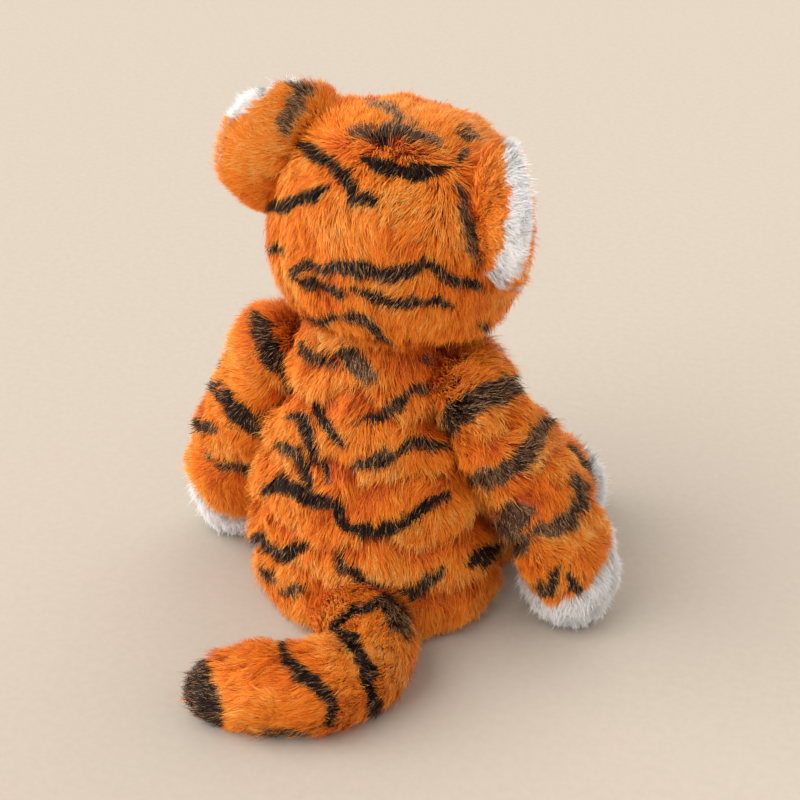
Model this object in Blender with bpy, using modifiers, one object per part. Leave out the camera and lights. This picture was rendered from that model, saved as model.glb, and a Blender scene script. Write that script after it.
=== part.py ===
# Sitting plush tiger: fur covers over stuffing, sewn at the neck, shoulders, hips and tail.
# Metres, +Z up. The tiger faces -Y, its left side is +X, and its flat seat is centred on the origin.
import math

import bmesh
import bpy
from mathutils import Matrix, Vector

# Body: a pear whose seat is flat, leaning towards the face at the neck
BODY_WIDTH = 0.110
BODY_DEPTH = 0.094
BODY_HEIGHT = 0.158
BODY_LEAN = 0.012
SEAT_CUT = 0.0005
# height share, half-width share, half-depth share, from the top down
BODY_RING_SHARES = (
    (0.99, 0.52, 0.56),
    (0.91, 0.66, 0.73),
    (0.78, 0.71, 0.81),
    (0.64, 0.79, 0.88),
    (0.50, 0.89, 0.95),
    (0.36, 0.98, 1.00),
    (0.21, 1.01, 1.02),
    (0.07, 1.01, 1.02),
    (0.00, 0.89, 0.89),
    (0.00, 0.45, 0.45),
)

# Neck seam: a flat round face that the head turns on
NECK_HEIGHT = 0.145
NECK_SIDE = -0.003
NECK_OPENING_RADIUS = 0.017

# Head: carried on the neck, leaning and turned a little as it sits
HEAD_WIDTH = 0.106
HEAD_DEPTH = 0.098
HEAD_HEIGHT = 0.091
HEAD_RISE = 0.0335
HEAD_LEAN_DEGREES = -6.0
HEAD_TURN_DEGREES = -5.5
HEAD_RING_SHARES = (
    (0.99, 0.30, 0.30),
    (0.88, 0.62, 0.60),
    (0.62, 0.88, 0.86),
    (0.28, 0.99, 0.98),
    (-0.08, 1.01, 1.01),
    (-0.42, 1.00, 0.99),
    (-0.72, 0.88, 0.87),
    (-0.92, 0.60, 0.60),
    (-1.00, 0.25, 0.25),
)
HEAD_POLE_SHARE = 1.02

# Fur fabric with its pile, as thick as it lies on each part
COVER_WALL = 0.008
LIMB_WALL = 0.006
SEAM_GAP = 0.0003

# Muzzle: two cheeks and a chin in white, with a nose on top
MUZZLE_WIDTH = 0.044
MUZZLE_HEIGHT = 0.026
MUZZLE_REACH = 0.017
MUZZLE_DROP = 0.012
CHEEK_WIDTH_SHARE = 0.62
CHIN_WIDTH = 0.026
CHIN_HEIGHT = 0.018
CHIN_REACH = 0.0135
NOSE_WIDTH = 0.017
NOSE_HEIGHT = 0.011
NOSE_DEPTH = 0.009
NOSE_TIP_SHARE = 0.45
NOSE_FORWARD_SHARE = 0.80
NOSE_RISE_SHARE = 0.62

# Eyes: domes with a stem through the cover, held by a washer inside it
EYE_RADIUS = 0.006
EYE_DOME = 0.0045
EYE_SEAT_DEPTH = 0.005
EYE_STEM_RADIUS = 0.0016
EYE_STEM_PAST_WASHER = 0.002
EYE_SIDE_DEGREES = 24.0
EYE_RISE_DEGREES = 7.0
WASHER_RADIUS = 0.0065
WASHER_THICKNESS = 0.0016
RUNNING_GAP = 0.0004

# Ears: round, cupped towards their white lining
EAR_WIDTH = 0.055
EAR_HEIGHT = 0.058
EAR_THICKNESS = 0.017
EAR_CUP = 0.007
EAR_SIDE = 0.0445
EAR_BACK = 0.015
EAR_RISE = 0.0212
EAR_TURN_DEGREES = 50.0
EAR_SPLAY_DEGREES = 12.0
EAR_TIP_DEGREES = 5.0

# Arms: from a round shoulder seam down to a paw on the floor
SHOULDER_SIDE = 0.046
SHOULDER_BACK = 0.005
SHOULDER_HEIGHT = 0.118
SHOULDER_SEAM = 0.031
SHOULDER_SEAM_RADIUS = 0.021
ARM_RADIUS = 0.0195
ARM_OUT = {"left": 0.0335, "right": 0.0415}
ARM_FORWARD = {"left": 0.027, "right": 0.015}
ARM_OPENING_RADIUS = 0.007
# length share, radius share, outward share, from the shoulder to the paw
ARM_RING_SHARES = (
    (-0.15, 0.48, -0.06),
    (-0.06, 0.80, -0.08),
    (0.12, 0.97, 0.02),
    (0.32, 0.99, 0.34),
    (0.52, 0.99, 0.66),
    (0.70, 0.98, 0.86),
    (0.86, 1.04, 0.96),
    (1.00, 1.06, 1.00),
    (1.13, 0.84, 1.01),
    (1.20, 0.42, 1.01),
)
# distance from the shoulder's axis as a share of the arm's drop, and the arm's inner side as a
# share of the body's half width
ARM_FLARE_SHARES = (
    (0.33, 0.775),
    (0.54, 0.945),
    (0.72, 1.045),
    (1.30, 1.085),
)
PAW_SEAM_SHARE = 0.46
PAW_FACING_SHARES = (0.26, -0.70, -0.66)

# Legs: sewn to the front of the seat, lying on the floor with upright feet
HIP_SIDE = 0.030
HIP_FORWARD = 0.033
HIP_SEAM = 0.013
HIP_GAP = 0.0008
THIGH_RADIUS = 0.0255
LEG_REACH = 0.042
LEG_OUT = {"left": 0.008, "right": 0.0253}
LEG_OPENING_RADIUS = 0.010
# length share, half-width share, half-height share, from the hip to the toes
LEG_RING_SHARES = (
    (-0.50, 0.56, 0.56),
    (-0.27, 0.92, 0.92),
    (0.06, 0.98, 0.97),
    (0.42, 0.90, 0.87),
    (0.74, 0.87, 0.84),
    (1.00, 0.87, 0.84),
    (1.22, 0.82, 0.80),
    (1.38, 0.64, 0.66),
    (1.45, 0.35, 0.37),
)
FOOT_REST_SHARE = 0.80
FOOT_SEAM_SHARE = 0.45
FOOT_DOWN_SHARE = 0.50
LEG_SWING_DEGREES = (-10.0, 0.0, 20.0)

# Tail: sewn low on the back, hooked round on the floor to the tiger's left
TAIL_SIDE = -0.004
TAIL_BACK = 0.047
TAIL_RADIUS = 0.0195
TAIL_SPAN = 0.100
TAIL_OPENING_RADIUS = 0.007
# side share and back share of the span, radius share, from the root to the end
TAIL_RING_SHARES = (
    (0.06, -0.12, 0.55),
    (0.00, -0.02, 0.80),
    (-0.09, 0.05, 0.86),
    (-0.17, 0.12, 0.88),
    (-0.215, 0.22, 0.87),
    (-0.215, 0.34, 0.86),
    (-0.16, 0.46, 0.86),
    (-0.05, 0.545, 0.86),
    (0.08, 0.585, 0.83),
    (0.20, 0.605, 0.75),
    (0.315, 0.625, 0.66),
    (0.375, 0.635, 0.38),
)
TAIL_REST_SHARE = 0.66
TAIL_UNFILLED_STEPS = 2
TAIL_SWING_DEGREES = (-22.0, 0.0, 12.0)

# Front panel and the pellet bag that weights the seat
BELLY_WIDTH = 0.056
BELLY_HEIGHT = 0.070
BELLY_MIDDLE = 0.096
BELLY_BACK = 0.026
PELLET_WIDTH = 0.058
PELLET_DEPTH = 0.034
PELLET_HEIGHT = 0.024
PELLET_BACK = 0.0195

OVERRUN = 0.020
BODY_SIDES = 12
LIMB_SIDES = 8
HIDDEN_SIDES = 6
HOLE_STEPS = 12
SMALL_STEPS = 16
ROUND_STEPS = 20
SEAM_STEPS = 32
DOME_STEPS = 5
LOBE_STEPS = (14, 8)
BAG_STEPS = (10, 7)
EAR_STEPS = (12, 7)
TIP_STEP_SHARE = 0.25
MERGE_DISTANCE = 0.00005
SIDES = {"left": 1.0, "right": -1.0}

# heights of the paws' middles, the hips and the tail's root above the floor that they rest on
PAW_RADIUS = ARM_RADIUS * max(share for _, share, _ in ARM_RING_SHARES)
SHOULDER_DROP = SHOULDER_HEIGHT - PAW_RADIUS + SEAT_CUT
HIP_HEIGHT = THIGH_RADIUS - SEAT_CUT
TAIL_HEIGHT = TAIL_RADIUS * max(share for _, _, share in TAIL_RING_SHARES) - SEAT_CUT

COLOURS = {
    "orange": ((0.80, 0.27, 0.035), 0.85),
    "white": ((0.84, 0.82, 0.79), 0.85),
    "fibre": ((0.86, 0.86, 0.84), 0.95),
    "pellet_cloth": ((0.55, 0.54, 0.50), 0.9),
    "eye": ((0.012, 0.010, 0.009), 0.12),
    "washer": ((0.75, 0.76, 0.76), 0.5),
    "nose": ((0.16, 0.065, 0.050), 0.6),
}


def clear_scene():
    for thing in list(bpy.data.objects):
        bpy.data.objects.remove(thing)


def new_collection(name):
    group = bpy.data.collections.new(name)
    bpy.context.scene.collection.children.link(group)
    return group


def new_material(name):
    colour, roughness = COLOURS[name]
    material = bpy.data.materials.new(name)
    material.use_nodes = True
    shader = material.node_tree.nodes["Principled BSDF"]
    shader.inputs["Base Color"].default_value = (*colour, 1.0)
    shader.inputs["Roughness"].default_value = roughness
    shader.inputs["Metallic"].default_value = 0.0
    return material


clear_scene()
PARTS = new_collection("plush_tiger")
CUTTERS = new_collection("cutters")
MATERIALS = {name: new_material(name) for name in COLOURS}


def add_part(name, mesh, finish, parent=None, place=None):
    """One visible piece, in its own material."""
    part = bpy.data.objects.new(name, mesh)
    PARTS.objects.link(part)
    mesh.materials.append(MATERIALS[finish])
    mesh.shade_smooth()
    part.parent = parent
    if place is not None:
        part.matrix_local = place
    return part


def add_cutter(name, mesh, parent=None, place=None):
    """A shape that only cuts, shown as wire."""
    cutter = bpy.data.objects.new(name, mesh)
    CUTTERS.objects.link(cutter)
    cutter.hide_render = True
    cutter.display_type = "WIRE"
    cutter.parent = parent
    if place is not None:
        cutter.matrix_local = place
    return cutter


def add_empty(name, place):
    empty = bpy.data.objects.new(name, None)
    PARTS.objects.link(empty)
    empty.matrix_local = place
    return empty


def mesh_of(name, bm):
    mesh = bpy.data.meshes.new(name)
    bm.to_mesh(mesh)
    bm.free()
    return mesh


def soften(thing, swell=0.0):
    """Rounds a cage, and moves its surface out or in by an even distance."""
    rounding = thing.modifiers.new("rounding", "SUBSURF")
    rounding.levels = 1
    rounding.render_levels = 1
    if swell:
        offset = thing.modifiers.new("offset", "DISPLACE")
        offset.mid_level = 0.0
        offset.strength = swell
    return thing


def carve(thing, cutter, operation="DIFFERENCE"):
    cut = thing.modifiers.new(cutter.name, "BOOLEAN")
    cut.operation = operation
    cut.object = cutter
    cut.solver = "EXACT"
    return thing


def cage(name, rings, ends, sides):
    """A sphere's rings moved to a row of ovals, each given by its centre and two half axes."""
    round_share = (2.0 + math.cos(math.tau / sides)) / 3.0
    bm = bmesh.new()
    turns = len(rings) + 1
    bmesh.ops.create_uvsphere(bm, u_segments=sides, v_segments=turns, radius=1.0)
    for vert in bm.verts:
        level = round(math.acos(max(-1.0, min(1.0, vert.co.z))) / math.pi * turns)
        if level in (0, turns):
            vert.co = ends[0] if level == 0 else ends[1]
            continue
        around = math.atan2(vert.co.y, vert.co.x)
        middle, across, along = rings[level - 1]
        across_part = across * (math.cos(around) / round_share)
        along_part = along * (math.sin(around) / round_share)
        vert.co = middle + across_part + along_part
    return mesh_of(name, bm)


def limb_cage(name, points, half_axes, level_axis, sides):
    """A cage along a bent line, its ovals square to the line and one axis of them near level_axis."""
    rings = []
    for at, (point, (wide, high)) in enumerate(zip(points, half_axes)):
        before = points[max(at - 1, 0)]
        after = points[min(at + 1, len(points) - 1)]
        back = (before - after).normalized()
        across = (level_axis - level_axis.dot(back) * back).normalized()
        rings.append((point, across * wide, back.cross(across) * high))
    ends = (
        points[0] + (points[0] - points[1]) * TIP_STEP_SHARE,
        points[-1] + (points[-1] - points[-2]) * TIP_STEP_SHARE,
    )
    return cage(name, rings, ends, sides)


def box(name, low, high):
    bm = bmesh.new()
    size = Vector(high) - Vector(low)
    middle = (Vector(high) + Vector(low)) / 2
    place = Matrix.Translation(middle) @ Matrix.Diagonal((*size, 1.0))
    bmesh.ops.create_cube(bm, size=1.0, matrix=place)
    return mesh_of(name, bm)


def rod(name, radius, low, high, steps=ROUND_STEPS):
    """A cylinder along +Z between two heights."""
    bm = bmesh.new()
    bmesh.ops.create_cone(
        bm,
        segments=steps,
        cap_ends=True,
        radius1=radius,
        radius2=radius,
        depth=high - low,
        matrix=Matrix.Translation((0.0, 0.0, (low + high) / 2)),
    )
    return mesh_of(name, bm)


def ball(name, half_axes, steps):
    bm = bmesh.new()
    bmesh.ops.create_uvsphere(
        bm,
        u_segments=steps[0],
        v_segments=steps[1],
        radius=1.0,
        matrix=Matrix.Diagonal((*half_axes, 1.0)),
    )
    return mesh_of(name, bm)


def pointing(direction, place):
    """A place whose +Z points along a direction."""
    turn = Vector(direction).to_track_quat("Z", "Y").to_matrix().to_4x4()
    return Matrix.Translation(place) @ turn


def outline(name, profile, closed=False):
    """Edges through pairs of radius and height, from the top down, to be turned about +Z."""
    bm = bmesh.new()
    verts = [bm.verts.new((radius, 0.0, height)) for radius, height in profile]
    follows = verts[1:] + verts[:1] if closed else verts[1:]
    for first, second in zip(verts, follows):
        bm.edges.new((first, second))
    return mesh_of(name, bm)


def spin(thing, steps=ROUND_STEPS):
    screw = thing.modifiers.new("turned", "SCREW")
    screw.steps = steps
    screw.render_steps = steps
    screw.use_merge_vertices = True
    screw.merge_threshold = MERGE_DISTANCE
    return thing


# Body
def body_cage(name, sides):
    rings = []
    for height, wide, deep in BODY_RING_SHARES:
        up = height * BODY_HEIGHT - (0.0 if height else SEAT_CUT)
        middle = Vector((0.0, -BODY_LEAN * height * height, up))
        across = Vector((wide * BODY_WIDTH / 2, 0.0, 0.0))
        along = Vector((0.0, deep * BODY_DEPTH / 2, 0.0))
        rings.append((middle, across, along))
    ends = (Vector((0.0, -BODY_LEAN, BODY_HEIGHT)), Vector((0.0, 0.0, -SEAT_CUT)))
    return cage(name, rings, ends, sides)


def shoulder_profile(shift):
    """How far out the arm's inner side lies, at each distance from the shoulder's axis."""
    seam = SHOULDER_SEAM + shift
    points = [(0.0, seam), (SHOULDER_SEAM_RADIUS, seam)]
    for away, out in ARM_FLARE_SHARES:
        points.append((away * SHOULDER_DROP, out * BODY_WIDTH / 2 + shift))
    return points


def side_cutter(name, side, profile, back, height):
    """A profile turned about a line along X through a joint, on one side of the body."""
    place = pointing((side, 0.0, 0.0), (0.0, back, height))
    return spin(add_cutter(name, outline(name, profile), place=place), SEAM_STEPS)


def shoulder_room(name, side, shift):
    """The space outside the body that the arm turns in."""
    profile = shoulder_profile(shift)
    end = BODY_WIDTH
    points = [(0.0, end), (profile[-1][0], end), *reversed(profile)]
    return side_cutter(name, side, points, SHOULDER_BACK, SHOULDER_HEIGHT)


def shoulder_core(name, side, shift):
    """The space inside the arm's turning that the body keeps."""
    profile = shoulder_profile(shift)
    points = [*profile, (profile[-1][0], -OVERRUN), (0.0, -OVERRUN)]
    return side_cutter(name, side, points, SHOULDER_BACK, SHOULDER_HEIGHT)


def hip_room(name, side, shift):
    radius = THIGH_RADIUS / math.cos(math.pi / SEAM_STEPS) + HIP_GAP + shift
    seam = HIP_SEAM - shift
    points = [(0.0, BODY_WIDTH), (radius, BODY_WIDTH), (radius, seam), (0.0, seam)]
    return side_cutter(name, side, points, -HIP_FORWARD, HIP_HEIGHT)


def carve_sides(thing, name, shift):
    """Makes room for both arms and both legs, further in by shift."""
    for label, side in SIDES.items():
        carve(thing, shoulder_room(f"{label}_shoulder_{name}", side, -shift))
        carve(thing, hip_room(f"{label}_hip_{name}", side, shift))


def above(name, height):
    reach = BODY_WIDTH
    top = BODY_HEIGHT + OVERRUN
    return add_cutter(name, box(name, (-reach, -reach, height), (reach, reach, top)))


def under(name, height):
    reach = BODY_WIDTH
    low = height - HEAD_HEIGHT
    return add_cutter(name, box(name, (-reach, -reach, low), (reach, reach, height)))


def belly_cutter(name, swell):
    mesh = rod(name, 1.0, 0.0, 1.0)
    wide = BELLY_WIDTH / 2 + swell
    high = BELLY_HEIGHT / 2 + swell
    size = Matrix.Diagonal((wide, high, BODY_DEPTH, 1.0))
    turn = Matrix.Rotation(math.pi / 2, 4, "X")
    mesh.transform(Matrix.Translation((0.0, -BELLY_BACK, BELLY_MIDDLE)) @ turn @ size)
    return add_cutter(name, mesh)


def build_body():
    cavity = soften(add_cutter("body_cavity", body_cage("body_cavity", HIDDEN_SIDES)), -COVER_WALL)
    carve_sides(cavity, "lining", COVER_WALL)
    carve(cavity, above("under_neck_wall", NECK_HEIGHT - COVER_WALL))
    opening = rod("neck_opening", NECK_OPENING_RADIUS, BODY_HEIGHT / 2, BODY_HEIGHT + OVERRUN)
    neck_place = Matrix.Translation((NECK_SIDE, -BODY_LEAN, 0.0))
    neck_opening = add_cutter("neck_opening", opening, place=neck_place)
    floor = BODY_WIDTH * 2
    seat = add_cutter("floor", box("floor", (-floor, -floor, -OVERRUN), (floor, floor, 0.0)))

    cover = soften(add_part("body_cover", body_cage("body_cover", BODY_SIDES), "orange"))
    carve(cover, above("above_neck", NECK_HEIGHT))
    carve_sides(cover, "seam", 0.0)
    carve(cover, cavity)
    carve(cover, neck_opening)
    carve(cover, seat)
    carve(cover, belly_cutter("belly_hole", SEAM_GAP))

    panel = soften(add_part("belly_panel", body_cage("belly_panel", BODY_SIDES), "white"))
    carve(panel, belly_cutter("belly_outline", 0.0), "INTERSECT")
    carve(panel, cavity)

    inset = COVER_WALL + SEAM_GAP
    stuffing = add_part("body_stuffing", body_cage("body_stuffing", HIDDEN_SIDES), "fibre")
    soften(stuffing, -inset)
    carve_sides(stuffing, "fill", inset)
    carve(stuffing, above("under_neck_fill", NECK_HEIGHT - inset))
    half = (PELLET_WIDTH / 2, PELLET_DEPTH / 2, PELLET_HEIGHT / 2)
    middle = Matrix.Translation((0.0, PELLET_BACK, inset + PELLET_HEIGHT / 2 - SEAT_CUT * 2))
    room = ball("pellet_room", [size + SEAM_GAP for size in half], BAG_STEPS)
    carve(stuffing, add_cutter("pellet_room", room, place=middle))
    pellets = add_part("pellet_bag", ball("pellet_bag", half, BAG_STEPS), "pellet_cloth", place=middle)
    carve(pellets, under("pellet_seat", inset + SEAM_GAP))
    return seat


# Head, in its own frame on the neck
def head_cage(name, sides):
    half = (HEAD_WIDTH / 2, HEAD_DEPTH / 2, HEAD_HEIGHT / 2)
    rings = []
    for height, wide, deep in HEAD_RING_SHARES:
        middle = Vector((0.0, 0.0, HEAD_RISE + height * half[2]))
        across = Vector((wide * half[0], 0.0, 0.0))
        rings.append((middle, across, Vector((0.0, deep * half[1], 0.0))))
    top = Vector((0.0, 0.0, HEAD_RISE + half[2] * HEAD_POLE_SHARE))
    bottom = Vector((0.0, 0.0, HEAD_RISE - half[2] * HEAD_POLE_SHARE))
    return cage(name, rings, (top, bottom), sides)


def eye_line(side):
    """The direction of an eye from the head's middle, and how far the fur's surface is."""
    turn, rise = math.radians(EYE_SIDE_DEGREES), math.radians(EYE_RISE_DEGREES)
    line = Vector(
        (side * math.sin(turn) * math.cos(rise), -math.cos(turn) * math.cos(rise), math.sin(rise))
    )
    half = (HEAD_WIDTH / 2, HEAD_DEPTH / 2, HEAD_HEIGHT / 2)
    reach = 1.0 / math.sqrt(sum((part / size) ** 2 for part, size in zip(line, half)))
    return line, reach


def build_eye(label, side, neck, cover, stuffing):
    line, reach = eye_line(side)
    middle = Vector((0.0, 0.0, HEAD_RISE))
    seat = pointing(line, middle + line * (reach - EYE_SEAT_DEPTH))
    washer_top = -(COVER_WALL - EYE_SEAT_DEPTH) - WASHER_THICKNESS
    washer_low = washer_top - WASHER_THICKNESS
    stem_end = washer_low - EYE_STEM_PAST_WASHER
    dome = [(0.0, EYE_DOME)]
    for step in range(1, DOME_STEPS + 1):
        angle = math.pi / 2 * step / DOME_STEPS
        dome.append((EYE_RADIUS * math.sin(angle), EYE_DOME * math.cos(angle)))
    profile = [*dome, (EYE_STEM_RADIUS, 0.0), (EYE_STEM_RADIUS, stem_end), (0.0, stem_end)]
    spin(add_part(f"{label}_eye", outline(f"{label}_eye", profile), "eye", neck, seat), SMALL_STEPS)

    hole = EYE_STEM_RADIUS + RUNNING_GAP
    ring = [(hole, washer_top), (WASHER_RADIUS, washer_top), (WASHER_RADIUS, washer_low)]
    ring.append((hole, washer_low))
    washer = outline(f"{label}_eye_washer", ring, closed=True)
    spin(add_part(f"{label}_eye_washer", washer, "washer", neck, seat), SMALL_STEPS)

    socket = rod(f"{label}_eye_seat", EYE_RADIUS + RUNNING_GAP, -SEAM_GAP, OVERRUN, SMALL_STEPS)
    carve(cover, add_cutter(f"{label}_eye_seat", socket, neck, seat))
    stem = rod(f"{label}_stem_hole", hole, -OVERRUN, OVERRUN, HOLE_STEPS)
    carve(cover, add_cutter(f"{label}_stem_hole", stem, neck, seat))
    room = WASHER_RADIUS + SEAM_GAP
    pocket = rod(f"{label}_washer_room", room, washer_low - SEAM_GAP, OVERRUN, SMALL_STEPS)
    carve(stuffing, add_cutter(f"{label}_washer_room", pocket, neck, seat))
    land = rod(f"{label}_washer_land", room, -OVERRUN, washer_top + SEAM_GAP, SMALL_STEPS)
    carve(cover, add_cutter(f"{label}_washer_land", land, neck, seat))
    past_stem = rod(f"{label}_stem_room", hole, stem_end - SEAM_GAP, OVERRUN, HOLE_STEPS)
    carve(stuffing, add_cutter(f"{label}_stem_room", past_stem, neck, seat))


def muzzle_lobes(swell):
    """Where each lobe of the muzzle lies, and its half axes."""
    front = -HEAD_DEPTH / 2
    level = HEAD_RISE - MUZZLE_DROP
    wide = MUZZLE_WIDTH / 2 * CHEEK_WIDTH_SHARE
    cheek = (wide + swell, MUZZLE_REACH + swell, MUZZLE_HEIGHT / 2 + swell)
    chin = (CHIN_WIDTH / 2 + swell, CHIN_REACH + swell, CHIN_HEIGHT / 2 + swell)
    side = MUZZLE_WIDTH / 2 - wide
    return {
        "left_cheek": (Vector((side, front, level)), cheek),
        "right_cheek": (Vector((-side, front, level)), cheek),
        "chin": (Vector((0.0, front, level - MUZZLE_HEIGHT / 2)), chin),
    }


def build_face(neck):
    head_room = add_cutter("head_room", head_cage("head_room", BODY_SIDES), neck)
    soften(head_room, SEAM_GAP)
    lobes = muzzle_lobes(0.0)
    middle, half = lobes["left_cheek"]
    place = Matrix.Translation(middle)
    muzzle = add_part("muzzle", ball("muzzle", half, LOBE_STEPS), "white", neck, place)
    for name in ("right_cheek", "chin"):
        middle, half = lobes[name]
        lobe = add_cutter(name, ball(name, half, LOBE_STEPS), neck, Matrix.Translation(middle))
        carve(muzzle, lobe, "UNION")
    carve(muzzle, head_room)

    middle, half = lobes["left_cheek"]
    top = Vector((0.0, middle.y - half[1] * NOSE_FORWARD_SHARE, middle.z + half[2] * NOSE_RISE_SHARE))
    mesh = ball("nose", (NOSE_WIDTH / 2, NOSE_DEPTH / 2, NOSE_HEIGHT / 2), LOBE_STEPS)
    for vert in mesh.vertices:
        down = (NOSE_HEIGHT / 2 - vert.co.z) / NOSE_HEIGHT
        vert.co.x *= 1.0 - (1.0 - NOSE_TIP_SHARE) * down * down
    nose = add_part("nose", mesh, "nose", neck, Matrix.Translation(top))
    rooms = muzzle_lobes(SEAM_GAP)
    for name in ("left_cheek", "right_cheek"):
        middle, half = rooms[name]
        room = add_cutter(f"{name}_room", ball(name, half, LOBE_STEPS), neck, Matrix.Translation(middle))
        carve(nose, room)
    return head_room


def ear_half(name, facing):
    """The back or the lining of an ear: half a flattened ball, dished towards the lining."""
    bm = bmesh.new()
    across, up = EAR_STEPS
    bmesh.ops.create_uvsphere(bm, u_segments=across, v_segments=up, radius=1.0)
    for vert in bm.verts:
        x, y, z = vert.co
        thick = max(y * facing, 0.0) * EAR_THICKNESS / 2 + SEAM_GAP / 2
        dish = EAR_CUP * (x * x + z * z)
        vert.co = Vector((x * EAR_WIDTH / 2, thick * facing - dish, z * EAR_HEIGHT / 2))
    return mesh_of(name, bm)


def build_ear(label, side, neck, head_room):
    spot = Vector((side * EAR_SIDE, EAR_BACK, HEAD_RISE + EAR_RISE))
    turn = Matrix.Rotation(side * math.radians(EAR_TURN_DEGREES), 4, "Z")
    splay = Matrix.Rotation(side * math.radians(EAR_SPLAY_DEGREES), 4, "Y")
    tip = Matrix.Rotation(math.radians(-EAR_TIP_DEGREES), 4, "X")
    place = Matrix.Translation(spot) @ turn @ splay @ tip
    for name, facing, finish in (("back", 1.0, "orange"), ("lining", -1.0, "white")):
        title = f"{label}_ear_{name}"
        ear = soften(add_part(title, ear_half(title, facing), finish, neck, place))
        carve(ear, head_room)


def build_head():
    middle = Vector((NECK_SIDE, -BODY_LEAN, NECK_HEIGHT))
    turn = Matrix.Rotation(math.radians(HEAD_TURN_DEGREES), 4, "Z")
    lean = Matrix.Rotation(math.radians(HEAD_LEAN_DEGREES), 4, "Y")
    neck = add_empty("neck_pivot", Matrix.Translation(middle) @ turn @ lean)
    inset = COVER_WALL + SEAM_GAP
    seam = NECK_HEIGHT + SEAM_GAP
    cavity = add_cutter("head_cavity", head_cage("head_cavity", HIDDEN_SIDES), neck)
    soften(cavity, -COVER_WALL)
    carve(cavity, under("above_neck_wall", seam + COVER_WALL))
    cover = soften(add_part("head_cover", head_cage("head_cover", BODY_SIDES), "orange", neck))
    carve(cover, under("neck_seam", seam))
    carve(cover, cavity)
    carve(cover, bpy.data.objects["neck_opening"])
    stuffing = add_part("head_stuffing", head_cage("head_stuffing", HIDDEN_SIDES), "fibre", neck)
    soften(stuffing, -inset)
    carve(stuffing, under("above_neck_fill", seam + inset))
    head_room = build_face(neck)
    for label, side in SIDES.items():
        build_eye(label, side, neck, cover, stuffing)
        build_ear(label, side, neck, head_room)


# Limbs, each in a frame on its own joint
def arm_reach(side):
    """How far the paw lies outward and forward of the shoulder, as each arm sits."""
    label = "left" if side > 0 else "right"
    return side * ARM_OUT[label], ARM_FORWARD[label]


def arm_cage(name, side, sides):
    outward, forward = arm_reach(side)
    points, half_axes = [], []
    for along, size, out in ARM_RING_SHARES:
        points.append(Vector((out * outward, -along * forward, -along * SHOULDER_DROP)))
        half_axes.append((size * ARM_RADIUS, size * ARM_RADIUS))
    return limb_cage(name, points, half_axes, Vector((0.0, 1.0, 0.0)), sides)


def leg_reach(side):
    """How far the foot lies outward and forward of the hip, as each leg sits."""
    label = "left" if side > 0 else "right"
    return side * LEG_OUT[label], LEG_REACH


def leg_cage(name, side, sides):
    outward, forward = leg_reach(side)
    points, half_axes = [], []
    for along, wide, high in LEG_RING_SHARES:
        resting = max(high, FOOT_REST_SHARE) * THIGH_RADIUS - SEAT_CUT - HIP_HEIGHT if along > 0 else 0.0
        points.append(Vector((max(along, 0.0) * outward, -along * forward, resting)))
        half_axes.append((wide * THIGH_RADIUS, high * THIGH_RADIUS))
    return limb_cage(name, points, half_axes, Vector((1.0, 0.0, 0.0)), sides)


def end_block(name, facing, point, shift):
    """Everything beyond a seam that slants across a limb's end."""
    reach = BODY_WIDTH
    mesh = box(name, (-reach, -reach, shift), (reach, reach, reach))
    return add_cutter(name, mesh, place=pointing(facing, point))


def swung_bodies(name, axis, pivot, swings, rooms=()):
    """The body as the limb meets it at each of its swings, with the rooms that it leaves free."""
    copies = []
    for swing in swings:
        title = f"{name}_body_{swing:+.0f}".replace("+", "plus_").replace("-", "minus_")
        turn = Matrix.Rotation(math.radians(-swing), 4, axis)
        place = Matrix.Translation(pivot)
        copy = add_cutter(title, body_cage(title, BODY_SIDES), place=place @ turn @ place.inverted())
        soften(copy, SEAM_GAP)
        for room in rooms:
            carve(copy, room)
        copies.append(copy)
    return copies


def build_limb(names, side, make_cage, pivot, inner, seam, seat, opening, cut_floor):
    """A cover with a sewn-on end, around stuffing, from its seam on the body."""
    label, limb, end = names
    place = Matrix.Translation(pivot)
    inset = LIMB_WALL + SEAM_GAP
    cavity_name = f"{label}_{limb}_cavity"
    cavity = add_cutter(cavity_name, make_cage(cavity_name, side, HIDDEN_SIDES), place=place)
    soften(cavity, -LIMB_WALL)
    carve(cavity, inner(f"{label}_{limb}_wall_core", side, SEAM_GAP + LIMB_WALL))
    facing, point = seam
    core = inner(f"{label}_{limb}_core", side, SEAM_GAP)
    title = f"{label}_{limb}"
    cover = add_part(title, make_cage(title, side, LIMB_SIDES), "orange", place=place)
    soften(cover)
    carve(cover, core)
    carve(cover, end_block(f"{title}_end", facing, point, -SEAM_GAP))
    carve(cover, cavity)
    mouth = rod(f"{title}_opening", opening, -OVERRUN, 0.0, HOLE_STEPS)
    mouth_place = pointing((side, 0.0, 0.0), pivot)
    carve(cover, add_cutter(f"{title}_opening", mouth, place=mouth_place))
    if cut_floor:
        carve(cover, seat)
    title = f"{label}_{end}"
    tip = add_part(title, make_cage(title, side, LIMB_SIDES), "white", place=place)
    soften(tip)
    carve(tip, end_block(f"{title}_end", facing, point, 0.0), "INTERSECT")
    carve(tip, cavity)
    carve(tip, seat)
    title = f"{label}_{limb}_stuffing"
    stuffing = add_part(title, make_cage(title, side, HIDDEN_SIDES), "fibre", place=place)
    soften(stuffing, -inset)
    carve(stuffing, inner(f"{title}_core", side, SEAM_GAP + inset))
    return cover


def hip_core(name, side, shift):
    """The body's side of the flat hip seam."""
    reach = BODY_WIDTH * 2
    low = (-reach, -reach, -reach)
    mesh = box(name, low, (HIP_SEAM + shift, reach, reach))
    mesh.transform(Matrix.Diagonal((side, 1.0, 1.0, 1.0)))
    if side < 0:
        mesh.flip_normals()
    return add_cutter(name, mesh)


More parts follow.
